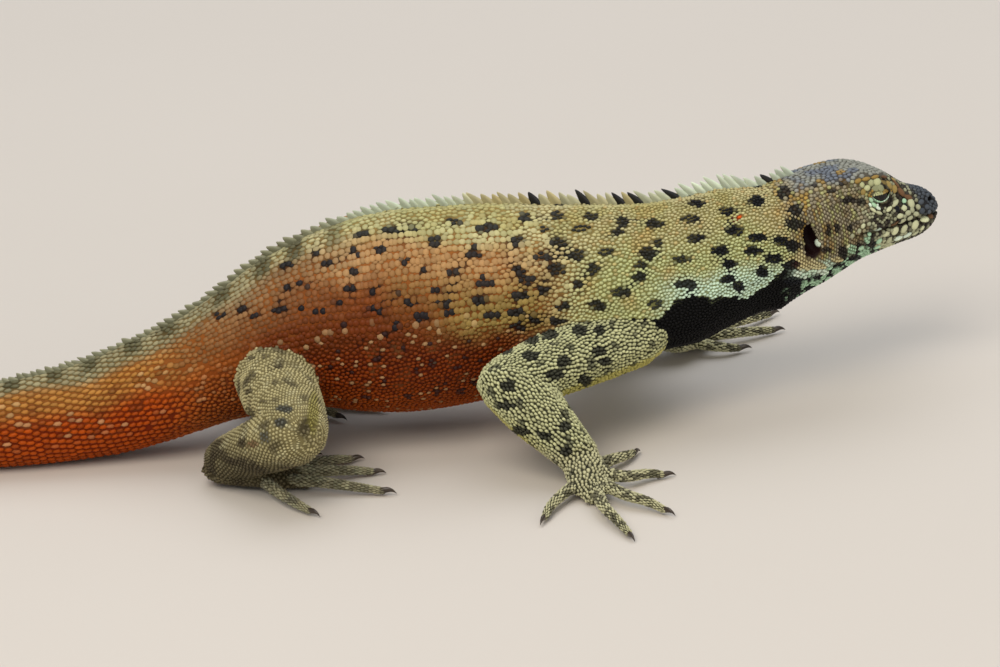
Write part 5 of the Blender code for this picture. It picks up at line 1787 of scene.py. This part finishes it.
# Eyes
# A glossy ball with a dark iris rimmed in bronze and a round black pupil under a clear cornea.
# Its colours run from the middle of the pupil outwards, by the angle from the eye's axis.
EYE_STOPS = [(0.0, "#010101"), (0.44, "#020202"), (0.47, "#33230f"), (0.52, "#15100c"),
             (0.66, "#0d0b0a"), (0.74, "#050505")]
EYE_AXIS = (0.25, 1.0, 0.05)
CORNEA_EDGE = 0.75
CORNEA_RISE = 0.12
EYEBALL_INSET = 0.05
# A wet cornea over a dark iris: black at a glance, with one sharp highlight.
eye_glass, eye_shader = new_material("wet_dark_eye", "#0c0a0a", 0.06)
eye_place = add_node(eye_glass, "ShaderNodeAttribute", settings={"attribute_name": "from_axis"})
eye_ring = add_node(eye_glass, "ShaderNodeValToRGB", links=[("Fac", eye_place, "Fac")])
stops = eye_ring.color_ramp.elements
while len(stops) < len(EYE_STOPS):
    stops.new(0.5)
for stop, (position, colour) in zip(stops, EYE_STOPS):
    stop.position = position
    stop.color = (*linear(colour), 1.0)
eye_glass.node_tree.links.new(eye_ring.outputs["Color"], eye_shader.inputs["Base Color"])
eye_shader.inputs["Specular IOR Level"].default_value = 0.2
eye_shader.inputs["Coat Weight"].default_value = 0.35
eye_shader.inputs["Coat Roughness"].default_value = 0.02
for side, mirror in (("R", -1), ("L", 1)):
    bm = bmesh.new()
    bmesh.ops.create_uvsphere(bm, u_segments=40, v_segments=28, radius=EYE_RADIUS - EYEBALL_INSET)
    outwards = Vector((EYE_AXIS[0], mirror * EYE_AXIS[1], EYE_AXIS[2])).normalized()
    centre = EYE_CENTRE * (1, mirror, 1)
    off_axis = []
    for vert in bm.verts:
        lean = vert.co.normalized().dot(outwards)
        off_axis.append(math.acos(max(-1.0, min(1.0, lean))))
        if lean > CORNEA_EDGE:
            vert.co += outwards * CORNEA_RISE * (lean - CORNEA_EDGE) / (1 - CORNEA_EDGE)
        vert.co = Vector(to_shared(from_head(centre + np.array(vert.co))))
    mesh = bpy.data.meshes.new(f"eyeball_{side}")
    bm.to_mesh(mesh)
    bm.free()
    layer = mesh.attributes.new("from_axis", "FLOAT", "POINT")
    layer.data.foreach_set("value", off_axis)
    mesh.shade_smooth()
    mesh.materials.append(eye_glass)
    ball = add_object(f"eyeball_{side}", mesh)
    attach(ball, "root")
    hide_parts(f"eye_{side}")
